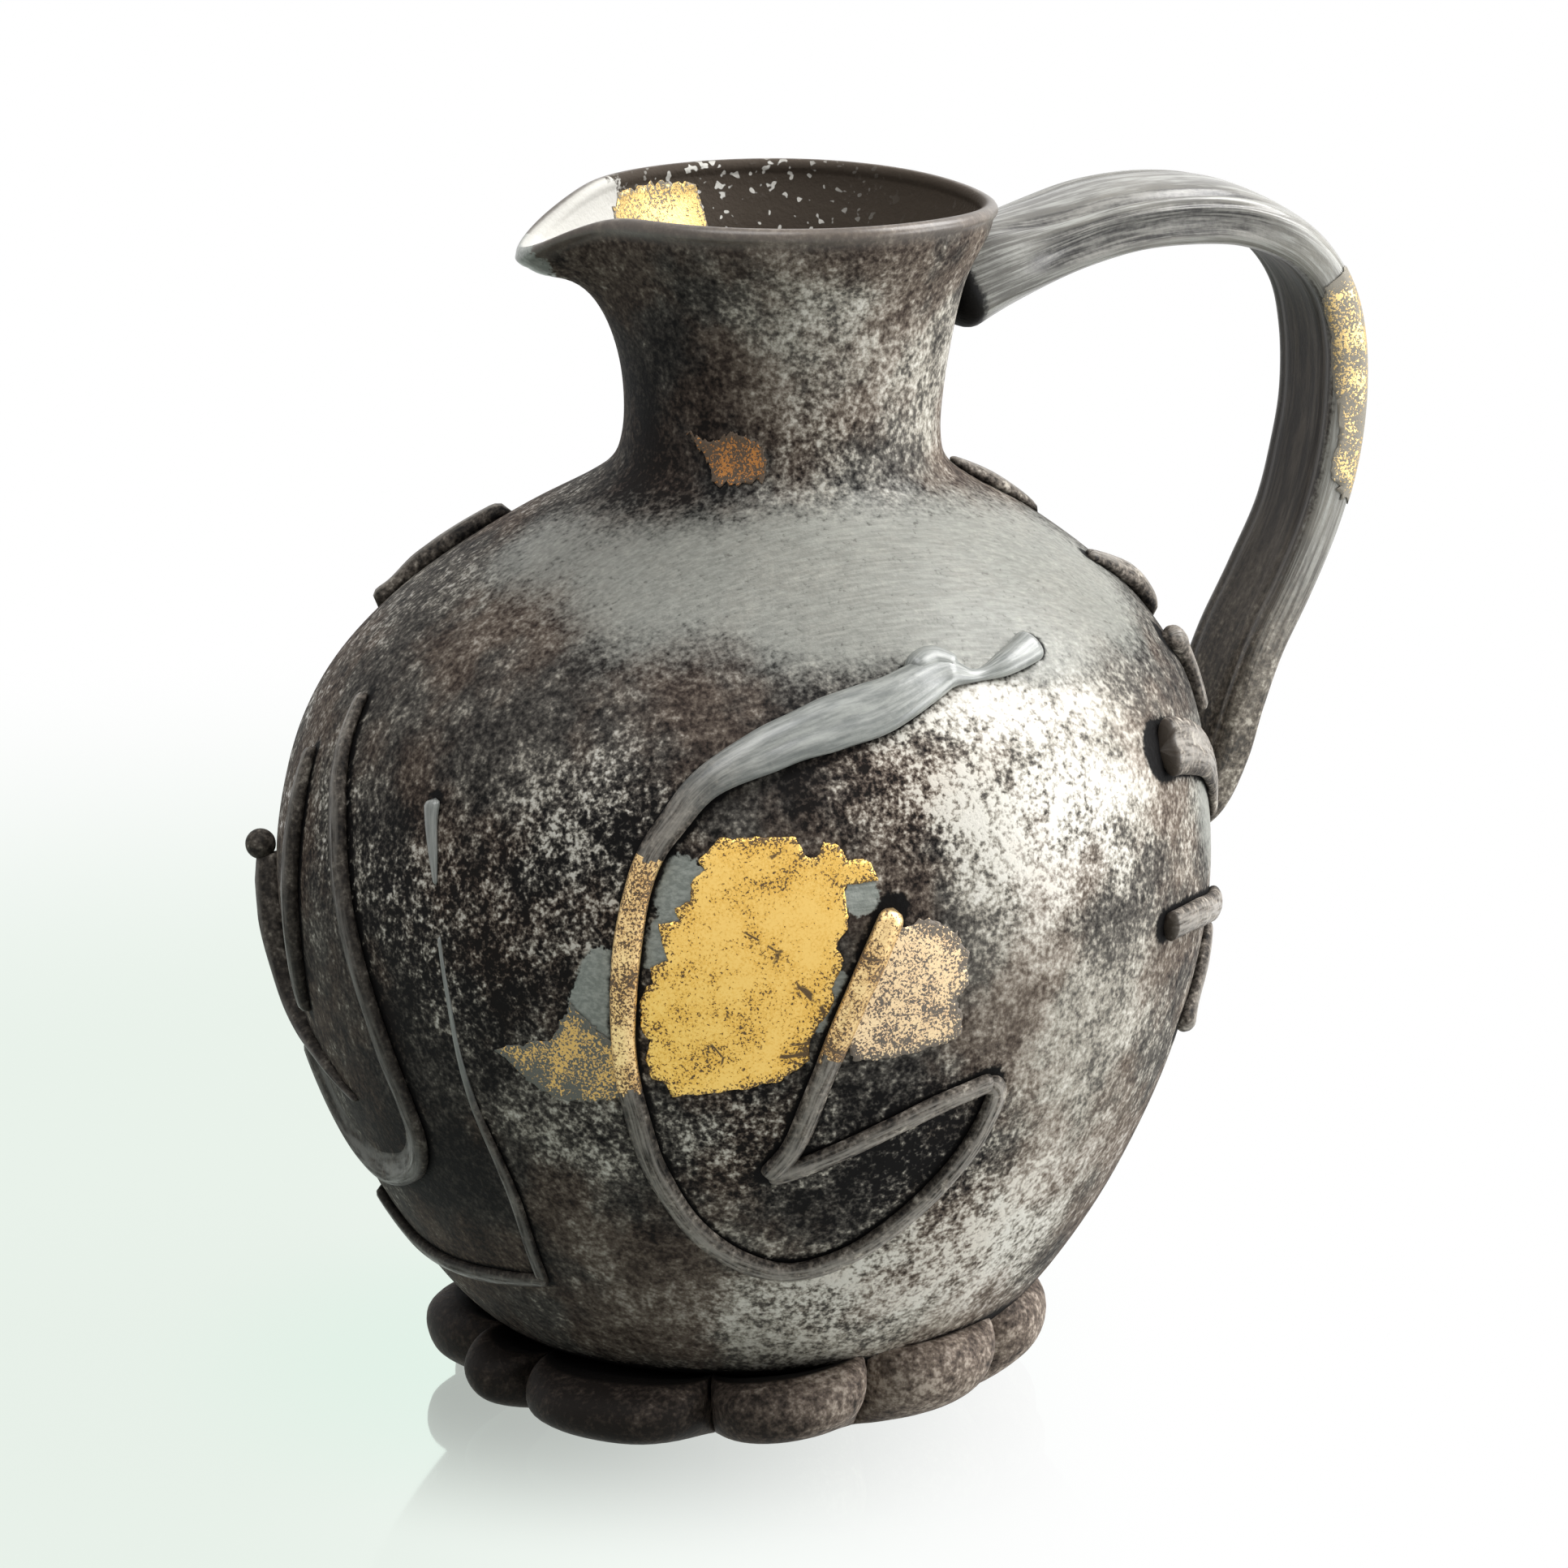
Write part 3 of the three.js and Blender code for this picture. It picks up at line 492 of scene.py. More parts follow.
# Painted shade at the left
left_shaded = mixed(tree, scaled(tree, left_shade, 0.7), flecked, colour(0x1B1816))
# Painted shade: near black in the notches between lobes and the seam under the body
nooks = sums(tree, "MAXIMUM", attribute(tree, "notch"), attribute(tree, "seam"))
nook_shade = scaled(tree, fired["Height"], 0.5, scaled(tree, nooks, 1.0, -0.25))
nook_shaded = mixed(tree, stepped(tree, nook_shade, 0.3, 0.7), left_shaded, colour(0x0C0A09))
finish_with(tree, shader, fired["Height"], 0.2 * MM, Base_Color=nook_shaded,
            Roughness=between(tree, fired["Mottle"], 0.75, 0.5))
foot.data.materials.append(matt)

# Its grooves and the face turned in to the body are painted dark as shade.
# Handle: a strap of glass drawn from a ribbed gather, pressed on to the neck under the lip, bent
# over in an arch and pressed on to the belly. Half glossy, with lengthwise streaks.
# Stations are [x, z, width, thickness, roll], and grooves [angle round it, spread, depth].
HANDLE_STATIONS = [
    [46, 242.4, 27, 22.5, 0], [59, 247.8, 29, 19.5, -2], [75, 253.5, 30, 14.5, -5],
    [90, 257, 31, 13, -6], [105.5, 257.8, 31, 13, -6], [120, 255.5, 31, 12.5, -5],
    [133.5, 249, 30, 12, -3], [141.6, 239, 29, 11.5, -1], [145.2, 226.5, 29, 11.5, 0],
    [145.6, 213, 29, 11.8, 0], [143.8, 199, 29, 11.8, 0], [139.6, 184.5, 29, 11.4, 0],
    [132.4, 169.5, 29.5, 11, 0], [125.2, 156, 30, 11.2, 0], [120.5, 144, 30, 11.2, 0],
    [117, 132.5, 29, 11, 0], [112, 121.5, 27, 10, 0], [105.8, 114.4, 20, 6, 0],
]
ARCH_GROOVES = [[68, 11, 2.3], [34, 7, 1.0], [4, 20, 2.2], [120, 9, 0.8]]
INNER_DISH = [[270, 42, 1.2], [300, 8, 0.5], [236, 7, 0.4]]
ARCH_RUN, BEND_RUN, ROUND_RUN = (12, 32), (66, 92), (8, 42)
INNER_RUN, CRUSTED_RUN, JOINT_RUN = (54, 92), (150, 215), (3, 10)
STRAP_WOBBLE, DEEP_GROOVE = (0.3, 18), 1.5
EDGE_FULLNESS, FACE_FULLNESS, END_ROUNDING = 0.62, 0.5, 6
HANDLE_RINGS, HANDLE_SIDES, STRAP_GIRTH = 260, 120, 75
STRAP = smooth_line(HANDLE_STATIONS, 16)
STRAP_RUN = np.concatenate([[0], np.cumsum(np.hypot(*np.diff(STRAP[:, :2], axis=0).T))])


def strap_dent(round_share, run):
    """Depth of the lengthwise grooves at a share of the way round the strap and along it."""
    arch = ease(run, *ARCH_RUN) * (1 - ease(run, *BEND_RUN))
    lower = ease(run, *BEND_RUN) * (1 - ease(run, 0.85 * STRAP_RUN[-1], STRAP_RUN[-1]))
    dent = np.zeros(len(run))
    for rows, strength in ((ARCH_GROOVES, arch), (INNER_DISH, lower)):
        for place, spread, depth in rows:
            apart = (360 * round_share - place + 180) % 360 - 180
            dent += depth * strength * np.exp(-((apart / spread) ** 2))
    return dent


def strap_place(round_share, run, out=0.0):
    """Places on the strap at a share of the way round it and a distance along it."""
    x, z, width, thickness, roll = (np.interp(run, STRAP_RUN, column) for column in STRAP.T)
    ahead = [np.interp(run, STRAP_RUN, np.gradient(STRAP[:, i], STRAP_RUN)) for i in (0, 1)]
    ahead = np.stack(ahead, 1) / np.hypot(*ahead)[:, None]
    angle = math.tau * round_share
    flat = ease(run, *ROUND_RUN)
    side = np.sign(np.cos(angle)) * np.abs(np.cos(angle)) ** (1 + (EDGE_FULLNESS - 1) * flat)
    face = np.sign(np.sin(angle)) * np.abs(np.sin(angle)) ** (1 + (FACE_FULLNESS - 1) * flat)
    slope = np.stack([np.cos(angle) * thickness, np.sin(angle) * width], 1)
    slope = slope / np.hypot(*slope.T)[:, None]
    from_end = np.minimum(run, STRAP_RUN[-1] - run) / END_ROUNDING
    end = np.sqrt(np.clip(1 - (1 - np.minimum(from_end, 1)) ** 2, 0, 1))
    out = out - strap_dent(round_share, run)
    wide = (side * width / 2 + out * slope[:, 0]) * end
    up = (face * thickness / 2 + out * slope[:, 1]) * end
    turn = np.radians(roll)
    near = wide * np.cos(turn) - up * np.sin(turn)
    rise = up * np.cos(turn) + wide * np.sin(turn)
    return np.stack([x - rise * ahead[:, 1], -near, z + rise * ahead[:, 0]], 1)


def tube_grid(bm, rings, sides, girth, length):
    """Flat grid that is rolled into a tube; its map runs round the tube and along it in metres."""
    made = bmesh.ops.create_grid(bm, x_segments=sides, y_segments=rings, size=0.5)["verts"]
    lay = bm.loops.layers.uv.get("lay") or bm.loops.layers.uv.new("lay")
    for face in {face for vert in made for face in vert.link_faces}:
        for loop in face.loops:
            loop[lay].uv = ((loop.vert.co.x + 0.5) * girth * MM, (loop.vert.co.y + 0.5) * length * MM)
    return made


strap = bmesh.new()
tube_grid(strap, HANDLE_RINGS, HANDLE_SIDES, STRAP_GIRTH, STRAP_RUN[-1])
rest = np.array([v.co for v in strap.verts]) + 0.5
round_share, run = rest[:, 0], rest[:, 1] * STRAP_RUN[-1]
layer_of(strap, "groove", np.clip(strap_dent(round_share, run) / DEEP_GROOVE, 0, 1))
inward = np.clip(-np.sin(math.tau * round_share), 0, 1)
layer_of(strap, "inner", inward * ease(run, *INNER_RUN))
layer_of(strap, "lower", ease(run, *CRUSTED_RUN))
layer_of(strap, "joint", 1 - ease(run, *JOINT_RUN))
handle = make_piece(
    "ribbed_strap_handle", strap,
    lambda _: wobble(strap_place(round_share, run), *STRAP_WOBBLE),
    "strap_glass", "handle")

streaked, tree, shader = new_finish("streaked_strap_glass", Specular_IOR_Level=0.2, Coat_Roughness=0.22)
lay = node(tree, "UVMap", uv_map="lay").outputs[0]
drawn = node(tree, "Mapping", {"Vector": lay, "Scale": (1, 0.05, 1)}).outputs[0]
streaks = grains(tree, drawn, 1.1 * MM, 4, 0.65)
lower = attribute(tree, "lower")
fired = use_group(tree, crust, {"Vector": object_place(tree), "Fleck": scaled(tree, lower, 0.4),
                                "Darkening": scaled(tree, lower, 0.6), "Grain": scaled(tree, lower, 0.5)})
rough_edge = scaled(tree, fired["Height"], 1.0, -0.5)
ground = mixed(tree, stepped(tree, fired["Mottle"], 0.4, 0.62), colour(0x6C6A65), colour(0x85827A))
streak = mixed(tree, stepped(tree, streaks, 0.42, 0.66), ground, colour(0xACACA6))
drawn_edge = scaled(tree, streaks, 1.3, scaled(tree, rough_edge, 0.3, -0.65))
# Painted shade: the grooves darkened
groove_shade = stepped(tree, sums(tree, "ADD", drawn_edge, attribute(tree, "groove")), 0.25, 0.6)
dusty = scaled(tree, fired["Mottle"], 0.3, scaled(tree, fired["Height"], 0.15))
blotched = scaled(tree, streaks, 0.55, dusty)
channel = mixed(tree, stepped(tree, blotched, 0.4, 0.6), colour(0x22201F), colour(0x96948E))
groove_shaded = mixed(tree, groove_shade, streak, channel)
# Painted shade on the face turned in to the body
shade = mixed(tree, stepped(tree, streaks, 0.4, 0.7), colour(0x2B2724), colour(0x5D5750))
turned_in = stepped(tree, scaled(tree, rough_edge, 0.8, attribute(tree, "inner")), 0.42, 0.72)
inner_side = mixed(tree, turned_in, groove_shaded, shade)
taupe = mixed(tree, stepped(tree, streaks, 0.35, 0.7), colour(0x4B433B), colour(0x8B8377))
aged = mixed(tree, scaled(tree, lower, 0.75), inner_side, taupe)
crusted = ramp(tree, fired["Tone"], (0.1, 0x151312), (0.35, 0x5A5249), (0.6, 0x8A8276), (0.85, 0xD0C9BB))
flecked = mixed(tree, scaled(tree, lower, 0.7), aged, crusted)
seamed = mixed(tree, stepped(tree, scaled(tree, rough_edge, 1.0, attribute(tree, "joint")), 0.3, 0.7),
               flecked, colour(0x070606))
gloss = scaled(tree, sums(tree, "MAXIMUM", lower, attribute(tree, "inner")), -0.7, 0.8)
gloss = sums(tree, "MULTIPLY", gloss, scaled(tree, attribute(tree, "joint"), -1.0, 1.0))
finish_with(tree, shader, scaled(tree, streaks, 0.8, fired["Height"]), 0.15 * MM, Base_Color=seamed,
            Coat_Weight=gloss, Roughness=between(tree, gloss, 0.65, 0.4))
handle.data.materials.append(streaked)

# Threads: rods of hot glass trailed on to the turning body, where they melted on and were drawn out,
# folded and let drip. Same dark glass, cleaner on the crests and with a painted highlight there, painted
# darker on the left as shade, and gilt on the front trail.
# Stations are [turn, height, width]; rise is the height of a thread as a share of its width.
FRONT_LOOP = [
    [20.5, 178.5, 8.5], [13, 176, 6], [7.5, 175, 3.2], [1, 175.5, 9], [-8, 171, 13], [-16, 168, 12.5],
    [-23.5, 164, 10], [-30.5, 158, 8], [-34, 150.5, 7], [-37, 140, 6.4], [-38.5, 120, 6],
    [-39, 100, 5.6], [-38, 86, 5.4], [-36, 72, 5.2], [-31.5, 58, 5], [-25, 49.5, 5],
    [-17.5, 46.5, 5], [-9, 50.5, 5], [-1, 60.5, 5], [5, 73, 5], [8, 86, 4.8], [6.5, 90, 4.6],
]
FRONT_RETURN = [
    [7.5, 90, 4.6], [0.5, 86.5, 4.6], [-6.5, 81.5, 4.6], [-13, 76.5, 4.6], [-19, 72.5, 4.8],
    [-22, 71.5, 5],
]
FRONT_BAR = [
    [-22, 71, 5], [-18.5, 79, 5], [-15.5, 94, 5.2], [-12.5, 109, 5.6], [-9.5, 121.5, 6], [-7, 131.5, 6],
]
FRONT_FOLD = [[4.5, 176, 4.5], [0.5, 178, 7], [-3.5, 176.5, 5.5]]
THIN_DROP = [[-67.4, 149.4, 4.8], [-66.8, 145, 3.6], [-65.5, 138, 2.4], [-64.6, 131.5, 1]]
THIN_TRAIL = [
    [-63.5, 121, 0.9], [-62.5, 107, 1.1], [-62, 94, 1.4], [-61, 83, 1.9], [-59, 70, 2.5],
    [-58, 57.5, 2.8], [-58.5, 39, 3],
]
THIN_TRAIL_BASE = [
    [-57.5, 39.5, 3.4], [-67.5, 37.5, 3.8], [-80, 36, 4], [-93, 37, 4], [-99.5, 42, 4], [-102, 47, 4],
]
LEFT_HAIRPIN = [
    [-91.5, 164, 4.5], [-88.3, 152, 5.5], [-84.5, 140, 6], [-81.5, 127.5, 6], [-79, 115, 6],
    [-76.8, 101.5, 6], [-75, 89, 6], [-73.5, 78, 5.6], [-73.5, 69.5, 5.5], [-76.5, 62.5, 5.5],
    [-83, 58, 5.5], [-90, 56.5, 5.5], [-96.5, 59, 5.5], [-101.5, 64, 5.5], [-105, 71.5, 5.5],
    [-107, 80, 5.5],
]
LEFT_STRAND = [
    [-98.5, 150, 4], [-97, 138, 5.2], [-96, 124, 5.6], [-96, 109, 5.6], [-97.5, 96, 5], [-98, 90, 4],
]
KNOB_TRAIL = [
    [-113.5, 120, 3.6], [-113, 117, 3.8], [-112, 112, 4.2], [-110.5, 104, 4.2], [-109, 95, 3.8],
    [-107, 89, 3.4], [-103.5, 84.5, 2.8], [-97.5, 80.5, 2], [-92, 76.5, 1.4], [-87.5, 73.5, 1],
]
LEFT_SHOULDER_BAR = [
    [-132.5, 192.5, 4.5], [-130, 186, 5.2], [-128, 180, 5.2], [-126.5, 175, 4], [-126, 171, 5.5],
]
RIGHT_SHOULDER_DROP = [[76, 206.5, 3], [80, 200.5, 7], [80.5, 192.5, 3.5]]
RIGHT_UPPER_DROP = [[64, 186.5, 3.5], [70, 182, 6.5], [73.5, 177, 9], [73, 170, 6]]
RIGHT_BEAD_THREAD = [[61.5, 169, 7], [65, 164.5, 4.6], [66, 158, 3.8], [66.5, 150, 3.4]]
RIGHT_HOOK = [
    [39, 152.5, 13], [44, 151.3, 12.5], [50.5, 147.8, 10.5], [57, 142, 8], [62, 135, 6.5], [64.5, 128, 5],
]
RIGHT_MIDDLE_BAR = [[37, 114.5, 6.5], [44, 114, 7], [52, 112, 7], [59, 109.8, 7], [66, 108, 6.5]]
RIGHT_LOW_BAR = [[53.5, 83.5, 6.8], [57, 88.5, 5], [60.5, 96, 5], [66, 102.5, 4.5]]
THREADS = {
    "front_trail": [
        dict(stations=FRONT_LOOP, rise=0.55, gilt=(88.5, 146), clear=(148, 167)),
        dict(stations=FRONT_RETURN, rise=0.55),
        dict(stations=FRONT_BAR, rise=0.6, gilt=(96, 142)),
        dict(stations=FRONT_FOLD, rise=0.8, clear=(158, 168)),
    ],
    "thin_trail": [
        dict(stations=THIN_DROP, rise=0.5, clear=(0, 1)),
        dict(stations=THIN_TRAIL, rise=0.6, clear=(75, 100)),
        dict(stations=THIN_TRAIL_BASE, rise=0.6),
    ],
    "left_hairpin": [dict(stations=LEFT_HAIRPIN, rise=0.5, slope=1.0)],
    "left_strand": [dict(stations=LEFT_STRAND, rise=0.6, slope=0.6)],
    "knob_trail": [dict(stations=KNOB_TRAIL, rise=1.3, tallest=5.4)],
    "left_shoulder_bar": [dict(stations=LEFT_SHOULDER_BAR, rise=0.8)],
    "right_shoulder_drop": [dict(stations=RIGHT_SHOULDER_DROP, rise=0.4)],
    "right_upper_drop": [dict(stations=RIGHT_UPPER_DROP, rise=0.45)],
    "right_bead_thread": [dict(stations=RIGHT_BEAD_THREAD, rise=0.8)],
    "right_hook": [dict(stations=RIGHT_HOOK, rise=0.38, blunt=0.35)],
    "right_middle_bar": [dict(stations=RIGHT_MIDDLE_BAR, rise=0.5, blunt=0.2)],
    "right_low_bar": [dict(stations=RIGHT_LOW_BAR, rise=0.6)],
}
KNOB_PLACE, KNOB_SIZE = (-113.6, 121.4, 3.7), 6.9
BELLY_ARC = math.radians(104.5)
THREAD_STEP, THREAD_SIDES, TALLEST, SEAT = 0.8, 24, 4.3, 0.42
SWAY_LENGTH, SWAY_WIDER, SWAY_LOWER, SINK = 11, 0.09, 0.1, 0.1
RIBBON_WIDTHS, RIBBON_CREASE, CREASE_PLACE, CREASE_SPREAD = (8, 12), 1.0, -0.15, 0.22
SLOPE_SPREAD, SLOPE_SINK, SLOPE_CORNER, FACE_SOFTNESS = 1.5, 0.3, 0.9, 1.2
GILT_FADE, GILT_REACH, GILT_CUT, GILT_RAGGED, GILT_TEAR = 8, 6, 2, 2, 2.2
SHADED_SIDE = (-0.95, -0.1, -0.3)
crevice_places = []


def resampled(stations, step):
    """Even steps of turn, height and width along a thread, and the length that they cover."""
    line = smooth_line([[turn * BELLY_ARC, height, width] for turn, height, width in stations], 12)
    run = np.concatenate([[0], np.cumsum(np.hypot(*np.diff(line[:, :2], axis=0).T))])
    even = np.linspace(0, run[-1], max(8, int(run[-1] / step)) + 1)
    return np.stack([np.interp(even, run, column) for column in line.T], 1), run[-1]


def lay_thread(bm, layers, stations, rise, gilt=None, clear=None, slope=0.0, blunt=1.0,
               tallest=TALLEST):
    """Adds one rod, sunk a little in the wall, to a bmesh whose points are then in millimetres.

    Gilt and clear give heights where gold lies and where the glass turns clean. A slope lets the
    inner side run out into the wall, blunt is how round the first end is, and no part stands
    higher than tallest.
    """
    line, length = resampled(stations, THREAD_STEP)
    rings = len(line) - 1
    made = tube_grid(bm, rings, THREAD_SIDES, 3 * line[:, 2].mean(), length)
    flat = np.array([v.co for v in made])
    ring = np.rint((flat[:, 1] + 0.5) * rings).astype(int)
    run = ring / rings * length
    sway = np.array([noise.noise(Vector((s / SWAY_LENGTH, 3.7 * rise, stations[0][1]))) for s in run])
    arc, height, width = line[ring].T
    heading = np.gradient(line[:, :2], axis=0)[ring]
    rising = 1 / np.hypot(1, np.interp(height, WALL[:, 1], WALL_SLOPE))
    radius = wall_radius(height)
    ahead = np.stack([heading[:, 0] / BELLY_ARC * np.radians(radius), heading[:, 1] / rising], 1)
    ahead = ahead / np.hypot(*ahead.T)[:, None]
    width = width * (1 + SWAY_WIDER * sway)
    tall = np.minimum(width * rise, tallest) * (1 - SWAY_LOWER * sway)
    from_end = np.minimum(run / blunt, length - run) / (width / 2)
    end = np.sqrt(np.clip(1 - (1 - np.minimum(from_end, 1)) ** 2, 0, 1))
    angle = math.tau * (flat[:, 0] + 0.5)
    across, top = np.cos(angle), np.sin(angle)
    crease = np.exp(-(((across - CREASE_PLACE) / CREASE_SPREAD) ** 2))
    crease = crease * RIBBON_CREASE * ease(width, *RIBBON_WIDTHS)
    sloping = slope * ease(across, 0, 1)
    aside = across * width / 2 * end * (1 + SLOPE_SPREAD * sloping)
    lift = tall * (SEAT + (1 - SEAT) * top) * end - crease * np.maximum(0, top) - SINK
    lift = lift * (1 - sloping) - SLOPE_SINK * sloping
    turn = arc / BELLY_ARC + np.degrees(aside * ahead[:, 1] / radius)
    places = on_wall(turn, height - aside * ahead[:, 0] * rising, lift)
    gold = np.zeros(len(run)) if gilt is None else ease(height, gilt[0], gilt[0] + GILT_FADE) * (
        1 - ease(height, gilt[1] - GILT_FADE, gilt[1]))
    clean = np.zeros(len(run)) if clear is None else ease(height, *clear)
    past_face = run - 0.3 * width * blunt
    blunt_face = 1 - ease(past_face, 0, FACE_SOFTNESS) if blunt < 1 else np.zeros(len(run))
    painted = np.stack([np.maximum(0, top), GILT_REACH * gold, clean, blunt_face], 1)
    for vert, place, values in zip(made, places, painted):
        vert.co = place
        for layer, value in zip(layers, values):
            vert[layer] = value
    _, high, wide = line.T
    step = np.gradient(line[:, :2], axis=0)
    step = step / np.hypot(*step.T)[:, None]
    edge = -wide / 2 * slope
    level = high - edge * step[:, 0]
    middle = on_wall((line[:, 0] + edge * step[:, 1]) / BELLY_ARC, level, 0)
    clean_here = 0 if clear is None else ease(high, *clear)
    crevice_places.extend(zip(middle, wide / 2 * (1 - slope) + SLOPE_CORNER * slope - clean_here))


trailed, tree, shader = new_finish("trailed_thread_glass", Specular_IOR_Level=0.15, Coat_Roughness=0.25)
lay = node(tree, "UVMap", uv_map="lay").outputs[0]
drawn = node(tree, "Mapping", {"Vector": lay, "Scale": (1, 0.08, 1)}).outputs[0]
streaks = grains(tree, drawn, 0.9 * MM, 3)
coords = object_place(tree)
fired = use_group(tree, crust, {"Vector": coords, "Fleck": 0.35, "Darkening": 0.3, "Grain": 0.3})
# Painted shade: threads towards the left of the body are darkened
leftward = node(tree, "VectorMath", {0: coords, 1: SHADED_SIDE}, operation="DOT_PRODUCT").outputs["Value"]
left_shaded = scaled(tree, stepped(tree, leftward, 0.035, 0.07), 0.65)
# Paler crests: partly wear, partly a painted highlight
crest = stepped(tree, attribute(tree, "crest"), 0.45, 1.0)
worn = sums(tree, "MULTIPLY", crest, stepped(tree, streaks, 0.3, 0.65))
crusted = ramp(tree, fired["Tone"], (0.08, 0x131110), (0.35, 0x4A443E), (0.6, 0x7B736A), (0.85, 0xC4BCAF))
flecked = mixed(tree, scaled(tree, worn, 0.75), crusted, colour(0xA8A299))
clean = attribute(tree, "clear")
silver = mixed(tree, stepped(tree, streaks, 0.34, 0.7), colour(0x7D817E), colour(0xA8ABA6))
left_darkened = mixed(tree, left_shaded, flecked, colour(0x1D1A18))
cleared = mixed(tree, scaled(tree, clean, 0.9), left_darkened, silver)
ended = mixed(tree, attribute(tree, "end_face"), cleared, colour(0x3A332C))
gloss = sums(tree, "MAXIMUM", scaled(tree, worn, 0.5), clean)
finish_with(tree, shader, scaled(tree, streaks, 0.8, fired["Height"]), 0.15 * MM, Base_Color=ended,
            Coat_Weight=gloss, Roughness=between(tree, gloss, 0.62, 0.35))


def gold_finish(name, tone, deep, wear, glass_tone):
    """Beaten gold with pits and cracks where the glass shows through, worn most at its edge."""
    material, tree, shader = new_finish(name)
    coords = object_place(tree)
    pitting = grains(tree, coords, 0.6 * MM, 2, 0.7)
    cloud = grains(tree, coords, 8 * MM, 4)
    warp = node(tree, "TexNoise", {"Vector": coords, "Scale": 90}).outputs[1]
    bent = node(tree, "Mix", {0: 0.004, 4: coords, 5: warp}, data_type="VECTOR").outputs[1]
    veins = node(tree, "TexVoronoi", {"Vector": bent, "Scale": 1 / (17 * MM)},
                 feature="DISTANCE_TO_EDGE").outputs[0]
    cracked = sums(tree, "MULTIPLY", stepped(tree, veins, 0.02, 0.008), stepped(tree, cloud, 0.54, 0.6))
    rim = stepped(tree, attribute(tree, "edge"), 2.5, 0.0)
    worn = scaled(tree, rim, 0.12, scaled(tree, cloud, 0.6, scaled(tree, pitting, 1.0, -0.3)))
    gone = sums(tree, "MAXIMUM", stepped(tree, worn, 0.7 - wear, 0.78 - wear), cracked)
    patchy = scaled(tree, pitting, 0.5, scaled(tree, cloud, 0.5))
    foil = mixed(tree, stepped(tree, patchy, 0.4, 0.6), colour(tone), colour(deep))
    metal = scaled(tree, gone, -1.0, 1.0)
    finish_with(tree, shader, scaled(tree, gone, -0.6, pitting), 0.08 * MM, Metallic=metal,
                Base_Color=mixed(tree, gone, foil, colour(glass_tone)),
                Roughness=between(tree, gone, 0.42, 0.6))
    return material


gilded = gold_finish("rubbed_gold", 0xF0D49C, 0xB98B52, 0.19, 0x6A5640)
for name, rods in THREADS.items():
    bm = bmesh.new()
    layers = [bm.verts.layers.float.new(layer) for layer in ("crest", "edge", "clear", "end_face")]
    for rod in rods:
        lay_thread(bm, layers, **rod)
    if name == "knob_trail":
        bead_at = Matrix.Translation(on_wall(*KNOB_PLACE)[0])
        bmesh.ops.create_uvsphere(bm, u_segments=28, v_segments=18, radius=KNOB_SIZE / 2,
                                  matrix=bead_at)
    for face in bm.faces:
        gold_here = sum(vert[layers[1]] for vert in face.verts) / len(face.verts)
        torn = GILT_RAGGED * noise.noise(face.calc_center_median() / GILT_TEAR)
        face.material_index = int(gold_here + torn > GILT_CUT)
    thread = make_piece("trailed_" + name, bm, lambda points: points, "thread_glass", name)
    thread.data.materials.append(trailed)
    thread.data.materials.append(gilded)

# Painted shade and dirt in the corner between the wall and each thread, the foot and the handle
FAR_BESIDE, SEAM_HEIGHT, SEAM_RISE, SEAM_SOFTNESS = 8, 15, 7, 0.6
JOINT_MIDDLE, JOINT_RADIUS, NECK_MIDDLE, NECK_INSIDE = (48, 0, 238), 12, 9, 33


def search_tree(places):
    made = kdtree.KDTree(len(places))
    for index, place in enumerate(places):
        made.insert(Vector(place), index)
    made.balance()
    return made


crevices = search_tree([place for place, _ in crevice_places])
beside = []
for point in body_points:
    _, index, apart = crevices.find(Vector(point))
    beside.append(apart - crevice_places[index][1])
seam_level = SEAM_HEIGHT + SEAM_RISE * ease(body_points[:, 0], -30, 50)
to_seam = (body_points[:, 2] - seam_level) * SEAM_SOFTNESS
to_joint = np.sqrt(((body_points - JOINT_MIDDLE) ** 2).sum(1)) - JOINT_RADIUS
outside = np.hypot(body_points[:, 0] - NECK_MIDDLE, body_points[:, 1]) > NECK_INSIDE
to_joint = np.where(outside, to_joint, FAR_BESIDE)
nearest = np.minimum.reduce([np.array(beside), to_seam, to_joint])
paint(body, "beside", np.clip(nearest, -2, FAR_BESIDE))

